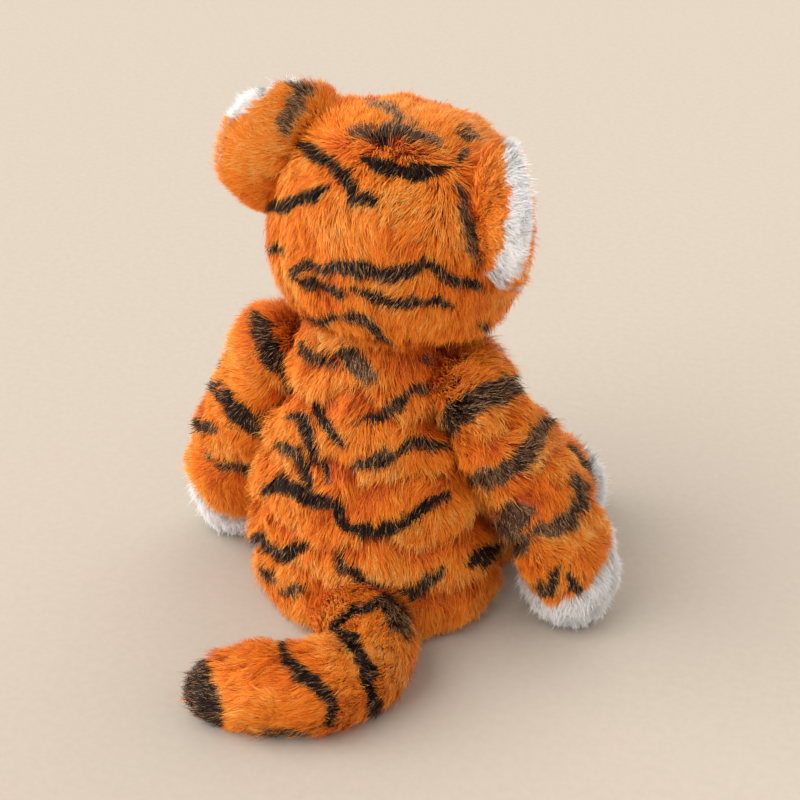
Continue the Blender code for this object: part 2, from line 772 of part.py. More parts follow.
def build_arm(label, side, seat):
    pivot = Vector((side * SHOULDER_SIDE, SHOULDER_BACK, SHOULDER_HEIGHT))
    out, forward, down = PAW_FACING_SHARES
    facing = Vector((side * out, forward, down))
    outward, reach = arm_reach(side)
    paw = pivot + Vector((outward, -reach, -SHOULDER_DROP))
    point = paw - facing.normalized() * (ARM_RADIUS * PAW_SEAM_SHARE)
    names = (label, "arm", "paw")
    seam = (facing, point)
    build_limb(names, side, arm_cage, pivot, shoulder_core, seam, seat, ARM_OPENING_RADIUS, False)


def build_leg(label, side, seat):
    pivot = Vector((side * HIP_SIDE, -HIP_FORWARD, HIP_HEIGHT))
    outward, forward = leg_reach(side)
    facing = Vector((outward, -forward, -forward * FOOT_DOWN_SHARE))
    foot = pivot + Vector((outward, -forward, 0.0))
    point = foot + facing.normalized() * (THIGH_RADIUS * FOOT_SEAM_SHARE)
    names = (label, "leg", "foot")
    seam = (facing, point)
    cover = build_limb(names, side, leg_cage, pivot, hip_core, seam, seat, LEG_OPENING_RADIUS, True)
    room = bpy.data.objects[f"{label}_hip_seam"]
    for copy in swung_bodies(f"{label}_leg", "X", pivot, LEG_SWING_DEGREES, (room,)):
        carve(cover, copy)


def tail_cage(name, sides, first):
    points, half_axes = [], []
    for out, back, size in TAIL_RING_SHARES[first:]:
        resting = max(size, TAIL_REST_SHARE) * TAIL_RADIUS - SEAT_CUT - TAIL_HEIGHT
        points.append(Vector((out * TAIL_SPAN, back * TAIL_SPAN, resting)))
        half_axes.append((size * TAIL_RADIUS, size * TAIL_RADIUS))
    return limb_cage(name, points, half_axes, Vector((0.0, 0.0, 1.0)), sides)


def build_tail(seat):
    pivot = Vector((TAIL_SIDE, TAIL_BACK, TAIL_HEIGHT))
    place = Matrix.Translation(pivot)
    hollow = tail_cage("tail_cavity", HIDDEN_SIDES, TAIL_UNFILLED_STEPS)
    cavity = add_cutter("tail_cavity", hollow, place=place)
    soften(cavity, -LIMB_WALL)
    cover = soften(add_part("tail", tail_cage("tail", LIMB_SIDES, 0), "orange", place=place))
    for copy in swung_bodies("tail", "Z", pivot, TAIL_SWING_DEGREES):
        carve(cover, copy)
    carve(cover, cavity)
    line = Vector((TAIL_RING_SHARES[3][0], TAIL_RING_SHARES[3][1], 0.0))
    mouth = rod("tail_opening", TAIL_OPENING_RADIUS, -OVERRUN, OVERRUN, HOLE_STEPS)
    carve(cover, add_cutter("tail_opening", mouth, place=pointing(line, pivot)))
    carve(cover, seat)
    stuffing = tail_cage("tail_stuffing", HIDDEN_SIDES, TAIL_UNFILLED_STEPS)
    soften(add_part("tail_stuffing", stuffing, "fibre", place=place), -LIMB_WALL - SEAM_GAP)


def build_tiger():
    seat = build_body()
    build_head()
    for label, side in SIDES.items():
        build_arm(label, side, seat)
        build_leg(label, side, seat)
    build_tail(seat)


build_tiger()
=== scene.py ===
import math

import bpy
import numpy as np
from mathutils import Matrix, Vector, kdtree
from mathutils.bvhtree import BVHTree


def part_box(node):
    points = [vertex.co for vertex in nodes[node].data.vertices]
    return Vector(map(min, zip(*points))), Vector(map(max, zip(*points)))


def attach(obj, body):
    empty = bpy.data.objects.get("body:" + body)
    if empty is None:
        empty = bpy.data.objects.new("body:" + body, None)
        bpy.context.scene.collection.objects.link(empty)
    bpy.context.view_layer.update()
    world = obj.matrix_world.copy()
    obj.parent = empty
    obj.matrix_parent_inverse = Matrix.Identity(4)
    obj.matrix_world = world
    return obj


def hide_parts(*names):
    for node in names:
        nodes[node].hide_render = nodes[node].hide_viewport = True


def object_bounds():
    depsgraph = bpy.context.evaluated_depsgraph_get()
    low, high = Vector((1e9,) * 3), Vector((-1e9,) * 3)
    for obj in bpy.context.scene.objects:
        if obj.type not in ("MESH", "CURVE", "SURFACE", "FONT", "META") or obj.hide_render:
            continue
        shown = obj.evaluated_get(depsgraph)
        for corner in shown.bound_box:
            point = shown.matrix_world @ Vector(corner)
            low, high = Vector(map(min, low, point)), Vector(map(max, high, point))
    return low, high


# A sitting plush tiger with a long silky pile. Metres, +Z up. It faces -Y and its left side is +X.
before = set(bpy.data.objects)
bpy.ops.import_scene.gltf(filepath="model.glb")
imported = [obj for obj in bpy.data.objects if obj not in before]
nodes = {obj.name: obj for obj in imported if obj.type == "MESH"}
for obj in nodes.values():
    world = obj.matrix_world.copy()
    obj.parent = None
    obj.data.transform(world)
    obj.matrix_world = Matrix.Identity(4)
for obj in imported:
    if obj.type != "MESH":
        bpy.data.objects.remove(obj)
startBounds = [np.array(corner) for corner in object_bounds()]
print(f"frame: {len(nodes)} nodes")

cameraLook = {
    "target": (-0.011, 0.0, 0.0987),
    "turn": 21.5,  # degrees from straight behind, towards the tiger's right
    "rise": 30.0,
    "distance": 0.812,
    "lens": 85.0,
    "sensor": 36.0,
    "picture": 800.0,  # the frame that places in picture points are given in
}
waveStretch = (0.7, 1.4)  # the shortest and longest of the waves that make up smooth noise


def unit(v):
    return v / np.maximum(np.linalg.norm(v, axis=-1, keepdims=True), 1e-12)


def cameraAxes():
    turn, rise = math.radians(cameraLook["turn"]), math.radians(cameraLook["rise"])
    back = np.array((-math.cos(rise) * math.sin(turn), math.cos(rise) * math.cos(turn), math.sin(rise)))
    place = np.array(cameraLook["target"]) + back * cameraLook["distance"]
    right = unit(np.cross(-back, (0.0, 0.0, 1.0)))
    return place, back, right, np.cross(right, -back)


cameraPlace, cameraBack, cameraRight, cameraUp = cameraAxes()


# where points fall in the camera's picture, in picture points
def inPicture(points):
    offset = points - cameraPlace
    depth = offset @ -cameraBack
    scale = cameraLook["lens"] / cameraLook["sensor"] * cameraLook["picture"] / depth
    half = cameraLook["picture"] / 2
    return np.stack((half + scale * (offset @ cameraRight), half - scale * (offset @ cameraUp)), axis=1)


# where points fall seen straight from the front, in millimetres
def inFront(points):
    return points[:, (0, 2)] * 1000


# smooth noise from about -1 to 1, with bumps about size across
def waves(points, size, count, seed):
    own = np.random.default_rng(seed)
    total = np.zeros(len(points))
    for _ in range(count):
        way = unit(own.normal(size=3)) * (2 * math.pi / size) * own.uniform(*waveStretch)
        total += np.sin(points @ way + own.uniform(0, 2 * math.pi))
    return total / math.sqrt(count / 2)


# such noises added up: each row is an amount, a size, a number of waves and a step from the seed
def addedWaves(points, rows, seed, start=0.0):
    return sum((share * waves(points, size, count, seed + step) for share, size, count, step in rows), start)


# the nearest place on a bent line, the line's direction there, and how far along it is
def nearestOnLine(points, line):
    line = np.array(line, float)
    if len(line) == 1:
        return np.repeat(line, len(points), axis=0), None, np.zeros(len(points))
    best = np.full(len(points), np.inf)
    near, way, gone = np.zeros_like(points), np.zeros_like(points), np.zeros(len(points))
    start = 0.0
    for a, b in zip(line[:-1], line[1:]):
        span = b - a
        size = np.linalg.norm(span)
        share = np.clip((points - a) @ span / (span @ span), 0, 1)
        there = a + share[:, None] * span
        away = np.linalg.norm(points - there, axis=1)
        closer = away < best
        best[closer], near[closer] = away[closer], there[closer]
        way[closer] = span / size
        gone[closer] = start + share[closer] * size
        start += size
    return near, way, gone


def cornersOf(name):
    mesh = nodes[name].data
    places = np.empty(len(mesh.vertices) * 3, np.float32)
    mesh.vertices.foreach_get("co", places)
    return places.reshape(-1, 3).astype(float)


def middleOf(name):
    corners = cornersOf(name)
    return (corners.max(axis=0) + corners.min(axis=0)) / 2


def addObject(name, data):
    made = bpy.data.objects.new(name, data)
    bpy.context.scene.collection.objects.link(made)
    return made


# Each coat's own seed, and its patterns take the ones up to the next coat's
coats = ("body", "belly", "head", "muzzle", "left_ear_back", "left_ear_lining", "right_ear_back",
         "right_ear_lining", "left_arm", "left_paw", "right_arm", "right_paw", "left_leg", "left_foot",
         "right_leg", "right_foot", "tail")
firstSeed, seedStep = 1000, 50
coatSeeds = {name: firstSeed + seedStep * i for i, name in enumerate(coats)}

# Colours and materials
# each colour's root tone is darker than the rest of a strand: painted shade deep in the pile, where it parts
furColours = {
    "orangeRoot": (200, 72, 3),
    "orangeDeep": (230, 98, 6),
    "orangeMid": (250, 128, 18),
    "orangeLight": (255, 152, 36),
    "orangeTip": (255, 188, 94),
    "darkRoot": (22, 14, 10),
    "dark": (31, 21, 16),
    "darkBrown": (102, 72, 52),
    "tan": (198, 148, 102),
    "whiteRoot": (234, 227, 222),
    "white": (248, 244, 241),
    "whiteTip": (252, 250, 248),
}
toneIndex = {name: i for i, name in enumerate(furColours)}
surfaceLook = {
    "specular": 0.3,
    "sheenRoughness": 0.4,
    "noiseDetail": 3.0,
    "grainEdges": (0.36, 0.64),  # where the noise turns from the shade to the colour
    "grainBump": 0.7,
}
glossLook = {
    "roughness": 0.6,
    "sheen": 0.05,
    "darkSpecular": 0.15,
    "patchSize": 0.004,
    "patchEdges": (0.35, 0.65),
    "patchRoughness": (0.48, 0.74),
}


def toLinear(colour):
    parts = [c / 255 for c in colour]
    return tuple(c / 12.92 if c <= 0.04045 else ((c + 0.055) / 1.055) ** 2.4 for c in parts) + (1.0,)


def makeMaterial(name, colour, roughness, sheen=0.0, specular=surfaceLook["specular"]):
    material = bpy.data.materials.new(name)
    material.use_nodes = True
    shader = material.node_tree.nodes["Principled BSDF"]
    shader.inputs["Base Color"].default_value = toLinear(colour)
    shader.inputs["Roughness"].default_value = roughness
    shader.inputs["Specular IOR Level"].default_value = specular
    shader.inputs["Sheen Weight"].default_value = sheen
    shader.inputs["Sheen Roughness"].default_value = surfaceLook["sheenRoughness"]
    return material


def addNoise(material, size):
    tree = material.node_tree
    place = tree.nodes.new("ShaderNodeTexCoord")
    noise = tree.nodes.new("ShaderNodeTexNoise")
    noise.inputs["Scale"].default_value = 1 / size
    noise.inputs["Detail"].default_value = surfaceLook["noiseDetail"]
    tree.links.new(place.outputs["Object"], noise.inputs["Vector"])
    return noise.outputs["Fac"]


# strands that shine unevenly
def makeFur(name, colour):
    dark = name.startswith("dark")
    sheen = 0.0 if dark else glossLook["sheen"]
    specular = glossLook["darkSpecular"] if dark else surfaceLook["specular"]
    material = makeMaterial(name, colour, glossLook["roughness"], sheen, specular)
    tree = material.node_tree
    gloss = tree.nodes.new("ShaderNodeMapRange")
    gloss.inputs["From Min"].default_value, gloss.inputs["From Max"].default_value = glossLook["patchEdges"]
    gloss.inputs["To Min"].default_value, gloss.inputs["To Max"].default_value = glossLook["patchRoughness"]
    tree.links.new(addNoise(material, glossLook["patchSize"]), gloss.inputs["Value"])
    tree.links.new(gloss.outputs["Result"], tree.nodes["Principled BSDF"].inputs["Roughness"])
    return material


# a finish whose colour varies towards the shade: size is its grain's, deep how far that stands out
def finish(colour, shade, roughness, size, deep, sheen=0.0):
    return dict(colour=colour, shade=shade, roughness=roughness, size=size, deep=deep, sheen=sheen)


def makeGrained(name, look):
    material = makeMaterial(name, look["colour"], look["roughness"], look["sheen"])
    tree = material.node_tree
    shader = tree.nodes["Principled BSDF"]
    grain = addNoise(material, look["size"])
    ramp = tree.nodes.new("ShaderNodeValToRGB")
    for element, edge, key in zip(ramp.color_ramp.elements, surfaceLook["grainEdges"], ("shade", "colour")):
        element.position = edge
        element.color = toLinear(look[key])
    tree.links.new(grain, ramp.inputs["Fac"])
    tree.links.new(ramp.outputs["Color"], shader.inputs["Base Color"])
    bump = tree.nodes.new("ShaderNodeBump")
    bump.inputs["Distance"].default_value = look["deep"]
    bump.inputs["Strength"].default_value = surfaceLook["grainBump"]
    tree.links.new(grain, bump.inputs["Height"])
    tree.links.new(bump.outputs["Normal"], shader.inputs["Normal"])
    return material


# Cloth under the fur: the cover's outer faces, set in from the pile's ends
clothLook = {
    "inset": 0.0055,
    "thickness": 0.001,
    "lowest": 0.0012,  # nothing of it comes nearer to the floor
    "outwards": 0.25,  # how squarely an outer face looks away from its part's middle line
    "weldPerMetre": 1e5,  # corners that agree to a hundredth of a millimetre are one
    "fill": 0.7,
    "orange": finish((204, 86, 12), (176, 66, 6), roughness=0.92, size=0.0012, deep=0.0003),
    "white": finish((232, 224, 216), (208, 198, 190), roughness=0.92, size=0.0012, deep=0.0003),
}
foldLook = {
    "seed": 11,
    "stray": [(0.16, 0.035, 6, 0)],  # how far a fold wanders, as a share of the way to the next
    "swell": (1.3, 0.35, 0.8, 0.10),  # how the pile rises above a fold and sinks below it
    "paintedFoldShadeAndLight": (0.14, 0.34),  # how far a fold's painted shade reaches, and how much painted light pales the pile above it
}
furMaterials = [makeFur(name, colour) for name, colour in furColours.items()]
clothMaterials = {kind: makeGrained(f"{kind}Backing", clothLook[kind]) for kind in ("orange", "white")}
print(f"materials: {len(furMaterials)} tones of fur, {len(clothMaterials)} cloths")


def triangleCorners(corners, faces):
    return (corners[faces[:, i]] for i in range(3))


def outerFaces(name, spine):
    mesh, corners = nodes[name].data, cornersOf(name)
    mesh.calc_loop_triangles()
    faces = np.empty(len(mesh.loop_triangles) * 3, np.int32)
    mesh.loop_triangles.foreach_get("vertices", faces)
    rounded = np.round(corners * clothLook["weldPerMetre"]).astype(int)
    _, first, back = np.unique(rounded, axis=0, return_index=True, return_inverse=True)
    corners, faces = corners[first], back.reshape(-1)[faces.reshape(-1, 3)]
    whole = (faces[:, 0] != faces[:, 1]) & (faces[:, 1] != faces[:, 2]) & (faces[:, 0] != faces[:, 2])
    faces = faces[whole]
    a, b, c = triangleCorners(corners, faces)
    normal = unit(np.cross(b - a, c - a))
    middle = (a + b + c) / 3
    near, _, _ = nearestOnLine(middle, spine)
    faces = faces[np.sum(normal * unit(middle - near), axis=1) > clothLook["outwards"]]
    a, b, c = triangleCorners(corners, faces)
    cross = np.cross(b - a, c - a)
    smooth = np.zeros_like(corners)
    for i in range(3):
        np.add.at(smooth, faces[:, i], cross)
    return corners, faces, unit(smooth)


# folds lie across a part at the given distances along it: 0 is just below a fold and 1 just above the next
def foldsAt(places, look):
    if "folds" not in look:
        return np.full(len(places), 0.5)
    along = look["measure"](places) if "measure" in look else nearestOnLine(places, look["spine"])[2]
    at = np.interp(along, look["folds"], np.arange(len(look["folds"])))
    at += addedWaves(places, foldLook["stray"], look.get("foldSeed", foldLook["seed"]))
    return at - np.floor(at)


# how deep the cloth is drawn in at a fold
def foldDip(fold, look):
    return look.get("foldDip", 0.0) * (0.5 + 0.5 * np.cos(2 * math.pi * fold)) ** 2


def makeCloth(name, look, corners, faces, normals):
    used, back = np.unique(faces, return_inverse=True)
    dip = foldDip(foldsAt(corners[used], look), look)
    places = corners[used] - normals[used] * (look["inset"] + dip)[:, None]
    places[:, 2] = np.maximum(places[:, 2], clothLook["lowest"])
    mesh = bpy.data.meshes.new(f"{name}_cloth")
    mesh.from_pydata(places.tolist(), [], back.reshape(-1, 3).tolist())
    mesh.materials.append(clothMaterials[look["kind"]])
    mesh.shade_smooth()
    cloth = addObject(f"{name}_cloth", mesh)
    thick = cloth.modifiers.new("cloth", "SOLIDIFY")
    thick.thickness = clothLook["thickness"]
    thick.offset = -1.0
    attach(cloth, look["body"])
    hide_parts(look["node"])


# Marks: stripes and white patches, each a line, its half width and how ragged it is, drawn one by one
markLook = {
    "margin": 8,  # how far round a line's box its mark may reach
    "taper": (1.08, 0.45),  # a mark's width in its middle, and how much of it goes towards its ends
    "edge": (1.2, 5.0),  # how wide the soft edge of a clean mark is, and how much a ragged one adds
    "seedSteps": {"stripes": 20, "whites": 30},
    "waves": [(1.0, 0.010, 5, 0)],
    "wobble": 1.5,  # picture points
    "frontWobble": 0.7,  # millimetres
    "seenAbove": -0.12,  # where the cloth turns further from the camera, the front's marks hold
    "frontHalf": 0.0,  # and they lie before this y
}


def markedShare(spots, lines, wide=1.0):
    marked, ragged = np.zeros(len(spots)), np.zeros(len(spots))
    full, taper = markLook["taper"]
    clean, rough = markLook["edge"]
    for line, half, rag in lines:
        line, half = np.array(line, float), half * wide
        low = line.min(axis=0) - half - markLook["margin"]
        high = line.max(axis=0) + half + markLook["margin"]
        close = np.nonzero(np.all((spots > low) & (spots < high), axis=1))[0]
        if not len(close):
            continue
        here = spots[close]
        length = np.concatenate(([0], np.cumsum(np.linalg.norm(np.diff(line, axis=0), axis=1))))
        best, share = np.full(len(here), np.inf), np.zeros(len(here))
        for i in range(len(line) - 1):
            span = line[i + 1] - line[i]
            t = np.clip((here - line[i]) @ span / (span @ span), 0, 1)
            away = np.linalg.norm(here - line[i] - t[:, None] * span, axis=1)
            closer = away < best
            best[closer] = away[closer]
            share[closer] = ((length[i] + t * (length[i + 1] - length[i])) / length[-1])[closer]
        width = half * (full - taper * np.abs(2 * share - 1) ** 3)
        amount = np.clip((width - best) / (clean + rough * rag) + 0.5, 0, 1)
        more = amount > marked[close]
        marked[close[more]], ragged[close[more]] = amount[more], rag
    return marked, ragged


def markShare(places, normals, look, key, seed):
    seed += markLook["seedSteps"][key]
    wobble = np.stack([addedWaves(places, markLook["waves"], seed + i) for i in range(2)], axis=1)
    spots = inPicture(places) + markLook["wobble"] * wobble
    share, ragged = markedShare(spots, look.get(key, []), look.get("stripeWide", 1.0))
    if f"{key}Front" in look:
        seen = np.sum(normals * unit(cameraPlace - places), axis=1) > markLook["seenAbove"]
        spots = inFront(places) + markLook["frontWobble"] * wobble
        other, otherRagged = markedShare(spots, look[f"{key}Front"])
        other = np.where(places[:, 1] < markLook["frontHalf"], other, 0)
        share, ragged = np.where(seen, share, other), np.where(seen, ragged, otherRagged)
    return share, ragged


# Fur: every strand is a narrow ribbon from the cloth, leaning the way that its part is brushed.
# Rows such as sway's are for addedWaves.
furLook = {
    "width": 0.00026,
    "steps": (0.0, 0.36, 0.70, 1.0),
    "rise": 1.8,  # how early along itself a strand rises
    "bend": 1.25,  # how late along itself it leans over
    "rootDepth": 0.0006,  # how far over the cloth's face its root stands
    "nearFloor": (0.002, 0.25),  # below this height this share of the strands grows
    "parting": 0.45,  # a comb weaker than this lets the pile stand up
    "upright": (0.9, 0.7),  # how high it stands there, as a share of its length, and how fully
    "steepest": 0.93,  # how high a strand may stand, as a share of its length
    "sway": [(0.30, 0.028, 6, 5), (0.20, 0.009, 6, 6)],  # how far the pile strays in patches
    "ownSway": 0.16,  # how far each strand strays by itself
    "puff": [(0.14, 0.024, 6, 7), (0.09, 0.008, 5, 8)],  # how much patches stand out
    "leastPuff": 0.45,
    "puffLength": 0.15,  # how much of this shows in a strand's length
    "lengths": (0.74, 1.10),
    "lifts": (0.78, 1.10),
    "leastLean": 1.04,  # a trimmed strand is this much longer than it is high
    "longShare": 0.07,  # strands that stand out beyond the rest
    "longReach": 1.30,
    "lockSize": 13,  # strands in a lock
    "lockPull": (0.08, 0.50),  # how far a strand joins its lock
    "longPull": 0.5,
    "lockBend": 1.6,  # how late along itself
    "stray": 0.00028,
    "lowest": 0.0004,
    "proud": np.array((0.0072, 0.0078, 0.0085)),  # the most that it stands out of the tiger's box
    "mostInPiece": 39000,  # the most strands in one piece; more would be thinned out in the exported files
}
seamLook = {
    "ragged": 0.0010,  # how far single strands stray over the white's edge
    "waves": [(0.0006, 0.008, 5, 12)],  # how far the white's edge wanders
    "overlap": 0.0016,  # how far orange strands run on under the white
    "overlapShares": (0.2, 1.8),
    "least": 0.0005,
    "fade": 0.012,  # over this length the orange pile sinks to half its height
    "rimLift": 0.9,  # how high and how far the white strands before the seam stand
    "rimReach": 0.8,
    "shortest": 0.12,
}


def scatter(look, own, corners, faces, normals):
    a, b, c = triangleCorners(corners, faces)
    area = np.linalg.norm(np.cross(b - a, c - a), axis=1) / 2
    middle = (a + b + c) / 3
    height, share = furLook["nearFloor"]
    area = area * np.where(middle[:, 2] < height, share, 1.0)
    count = look["strands"]
    picked = own.choice(len(faces), size=count, p=area / area.sum())
    u, v = own.random(count), own.random(count)
    flip = u + v > 1
    u[flip], v[flip] = 1 - u[flip], 1 - v[flip]
    shares = np.stack((1 - u - v, u, v), axis=1)[:, :, None]
    corner = faces[picked]
    return (corners[corner] * shares).sum(axis=1), unit((normals[corner] * shares).sum(axis=1))


# which way every strand leans, and where the pile parts and stands up
def leanOf(look, own, seed, surface, normal):
    _, way, _ = nearestOnLine(surface, look["spine"])
    comb = look["comb"](surface, normal, way)
    comb = comb - np.sum(comb * normal, axis=1, keepdims=True) * normal
    upright = 1 - np.clip(np.linalg.norm(comb, axis=1) / furLook["parting"], 0, 1)
    comb = unit(comb)
    side = np.cross(normal, comb)
    sway = addedWaves(surface, furLook["sway"], seed) + own.normal(0, furLook["ownSway"], len(surface))
    sway *= look.get("spread", 1.0)
    return unit(comb * np.cos(sway)[:, None] + side * np.sin(sway)[:, None]), upright


# how far every strand reaches and stands up: more above a fold and less below it
def reachOf(look, own, seed, surface, fold, upright):
    count = len(surface)
    power, level, sink, below = foldLook["swell"]
    swell = look.get("foldDepth", 0.0) * (fold ** power - level - sink * np.exp(-fold / below))
    puff = np.maximum(addedWaves(surface, furLook["puff"], seed, 1.0) + swell, furLook["leastPuff"])
    share = furLook["puffLength"]
    length = look["length"] * own.uniform(*furLook["lengths"], count) * (1 - share + share * puff)
    lift = look["lift"] * puff * own.uniform(*furLook["lifts"], count)
    long = own.random(count) < furLook["longShare"]
    length[long] *= furLook["longReach"]
    lift[long] *= own.uniform(1.0, furLook["longReach"], long.sum())
    if "trim" in look:
        share = look["trim"](surface)
        length, lift = length * share, look["inset"] + (lift - look["inset"]) * share
        length = np.maximum(length, lift * furLook["leastLean"])
    high, pull = furLook["upright"]
    lift = np.minimum(lift + (high * length - lift) * pull * upright, furLook["steepest"] * length)
    return np.sqrt(length ** 2 - lift ** 2), lift, long


# the orange pile stops short of the limb's end, and white pile laps over the seam
def endAtSeam(look, own, seed, surface, normal, lean, reach, lift):
    count, least = len(surface), seamLook["least"]
    facing = unit(np.array(look["seam"]))
    left = (cornersOf(look["node"]) @ facing).max() - surface @ facing - look["whiteEdge"]
    wander = seamLook["ragged"] * own.normal(0, 1, count) + addedWaves(surface, seamLook["waves"], seed)
    rim = left < wander
    left = left + seamLook["overlap"] * own.uniform(*seamLook["overlapShares"], count)
    sunk = np.clip(left / seamLook["fade"] + 0.5, 0.5, 1)
    proud = np.maximum(lift - look["inset"], least) * np.where(rim, seamLook["rimLift"], sunk)
    travel = np.maximum((lean @ facing) * reach + (normal @ facing) * proud, least)
    short = np.where(rim, seamLook["rimReach"], np.clip(left / travel, seamLook["shortest"], 1))
    return reach * short, look["inset"] + proud * short, rim


# strands gather into locks, each round one of them
def gatherLocks(own, roots, path, long):
    lockCount = max(len(roots) // furLook["lockSize"], 1)
    chosen = own.choice(len(roots), size=lockCount, replace=False)
    tree = kdtree.KDTree(lockCount)
    for i, at in enumerate(chosen):
        tree.insert(roots[at], i)
    tree.balance()
    lock = np.array([tree.find(root)[1] for root in roots])
    pull = own.uniform(*furLook["lockPull"], len(roots)) * np.where(long, furLook["longPull"], 1.0)
    late = np.array(furLook["steps"]) ** furLook["lockBend"]
    path += (path[chosen[lock]] - path) * (pull[:, None] * late)[:, :, None]
    return lock, lockCount


def growStrands(look, own, seed, surface, normal):
    count = len(surface)
    lean, upright = leanOf(look, own, seed, surface, normal)
    fold = foldsAt(surface, look)
    reach, lift, long = reachOf(look, own, seed, surface, fold, upright)
    rim = np.zeros(count, bool)
    if "seam" in look:
        reach, lift, rim = endAtSeam(look, own, seed, surface, normal, lean, reach, lift)

    steps = np.array(furLook["steps"])
    roots = surface - normal * (look["inset"] + foldDip(fold, look) - furLook["rootDepth"])[:, None]
    rise = 1 - (1 - steps) ** furLook["rise"]
    path = roots[:, None, :] + normal[:, None, :] * (lift[:, None] * rise)[:, :, None]
    path += lean[:, None, :] * (reach[:, None] * steps ** furLook["bend"])[:, :, None]
    lock, lockCount = gatherLocks(own, roots, path, long)
    path[:, 1:, :] += own.normal(0, furLook["stray"], (count, len(steps) - 1, 3))
    path = np.clip(path, startBounds[0] - furLook["proud"], startBounds[1] + furLook["proud"])
    path[:, :, 2] = np.maximum(path[:, :, 2], furLook["lowest"])
    # the last value is painted shade just below each fold, fading further on, and painted light on the pile
    # just above the next fold
    reachDown, paintedLightAbove = foldLook["paintedFoldShadeAndLight"]
    return path, own.random(lockCount)[lock], np.exp(-fold / reachDown) - paintedLightAbove * fold ** 3, rim


paintLook = {
    "tone": (0.50, 0.42),  # shares of a strand's tone that its lock and chance set
    "patches": [(0.12, 0.03, 5, 9)],
    "foldShade": 1.15,  # how much deeper the tone is painted at a fold, as painted shade in its crease
    "rootLevel": 0.45,  # a strand of a higher tone has the paler root
    "rising": ("orangeRoot", "orangeDeep", "orangeMid", "orangeLight", "orangeTip"),
    "levels": ((0.06, 0.28, 0.66, 1.05), (-0.08, 0.08, 0.34, 0.72)),  # in a strand's middle, and at its tip
    "whiteLevels": (0.25, 0.40),  # a white strand of a higher tone is paler
    "spot": (0.35, 0.65),  # a strand's mark is looked up between its root and its tip
    "brown": (0.94, 0.34),  # few strands of a clean stripe are brown, and more of a ragged one
    "pale": (0.02, 0.50, 0.40),  # the same for pale tips, and more at the stripe's edge
}


def paintStrands(look, own, seed, path, normal, lockTone, paintedFoldShadeAndLight, rim):
    count = len(path)
    ofLock, ofChance = paintLook["tone"]
    tone = ofLock * lockTone + ofChance * own.random(count)
    tone += addedWaves(path[:, 0], paintLook["patches"], seed)
    # painted shade in the folds' creases, and painted light on the pile above them
    tone -= paintLook["foldShade"] * look.get("foldDepth", 0.0) * paintedFoldShadeAndLight
    ofRoot, ofTip = paintLook["spot"]
    spot = path[:, 0] * ofRoot + path[:, 3] * ofTip
    paint = np.zeros((count, 3), np.int32)
    white = rim | (look["kind"] == "white")
    if "whites" in look or "whitesFront" in look:
        share, _ = markShare(spot, normal, look, "whites", seed)
        white = white | (own.random(count) < share)
    at = toneIndex
    # a strand's root gets a darker tone, as painted shade deep in the pile
    paint[:, 0] = np.where(tone > paintLook["rootLevel"], at["orangeDeep"], at["orangeRoot"])
    rising = np.array([at[key] for key in paintLook["rising"]])
    for step, levels in enumerate(paintLook["levels"], 1):
        paint[:, step] = rising[np.searchsorted(levels, tone)]
    middleLevel, tipLevel = paintLook["whiteLevels"]
    paint[white, 0] = at["whiteRoot"]
    paint[white, 1] = np.where(tone[white] > middleLevel, at["white"], at["whiteRoot"])
    paint[white, 2] = np.where(tone[white] > tipLevel, at["whiteTip"], at["white"])
    if "stripes" in look:
        paintStripes(look, own, seed, path, normal, spot, white, paint)
    return paint, white


def paintStripes(look, own, seed, path, normal, spot, white, paint):
    at = toneIndex
    chance, fringe = own.random(len(path)), own.random(len(path))
    brown, brownRagged = paintLook["brown"]
    pale, paleEdge, paleRagged = paintLook["pale"]
    for step in range(3):
        place = 0.5 * (path[:, step] + path[:, step + 1]) / 2 + 0.5 * spot
        dark, ragged = markShare(place, normal, look, "stripes", seed)
        isDark = (chance < dark) & ~white
        paint[isDark, step] = at["darkRoot"] if step == 0 else at["dark"]
        paint[isDark & (fringe > brown - brownRagged * ragged ** 2), step] = at["darkBrown"]
        isPale = isDark & (fringe < pale + paleEdge * ragged * (1 - dark) + paleRagged * ragged ** 2)
        if step > 0:
            paint[isPale, step] = at["tan"] if step == 2 else at["darkBrown"]


ribbonLook = {
    "turn": 0.35,  # how far a ribbon's flat side turns from the cloth's
    "facing": (0.0, 0.0, 0.4),
    "widths": (0.9, 1.0, 0.75),
    "widthShares": (0.75, 1.25),
    "shade": (0.40, 0.70, 0.12),  # shares of the shading that ribbon, cloth and the strand's way set
    "shadeUp": (0.0, 0.0, 0.22),
    "round": 0.30,
    "faceCorners": (0, 1, 3, 2, 2, 3, 5, 4, 4, 5, 6),  # two four-sided faces and the tip's triangle
    "faceStarts": (0, 4, 8),
}


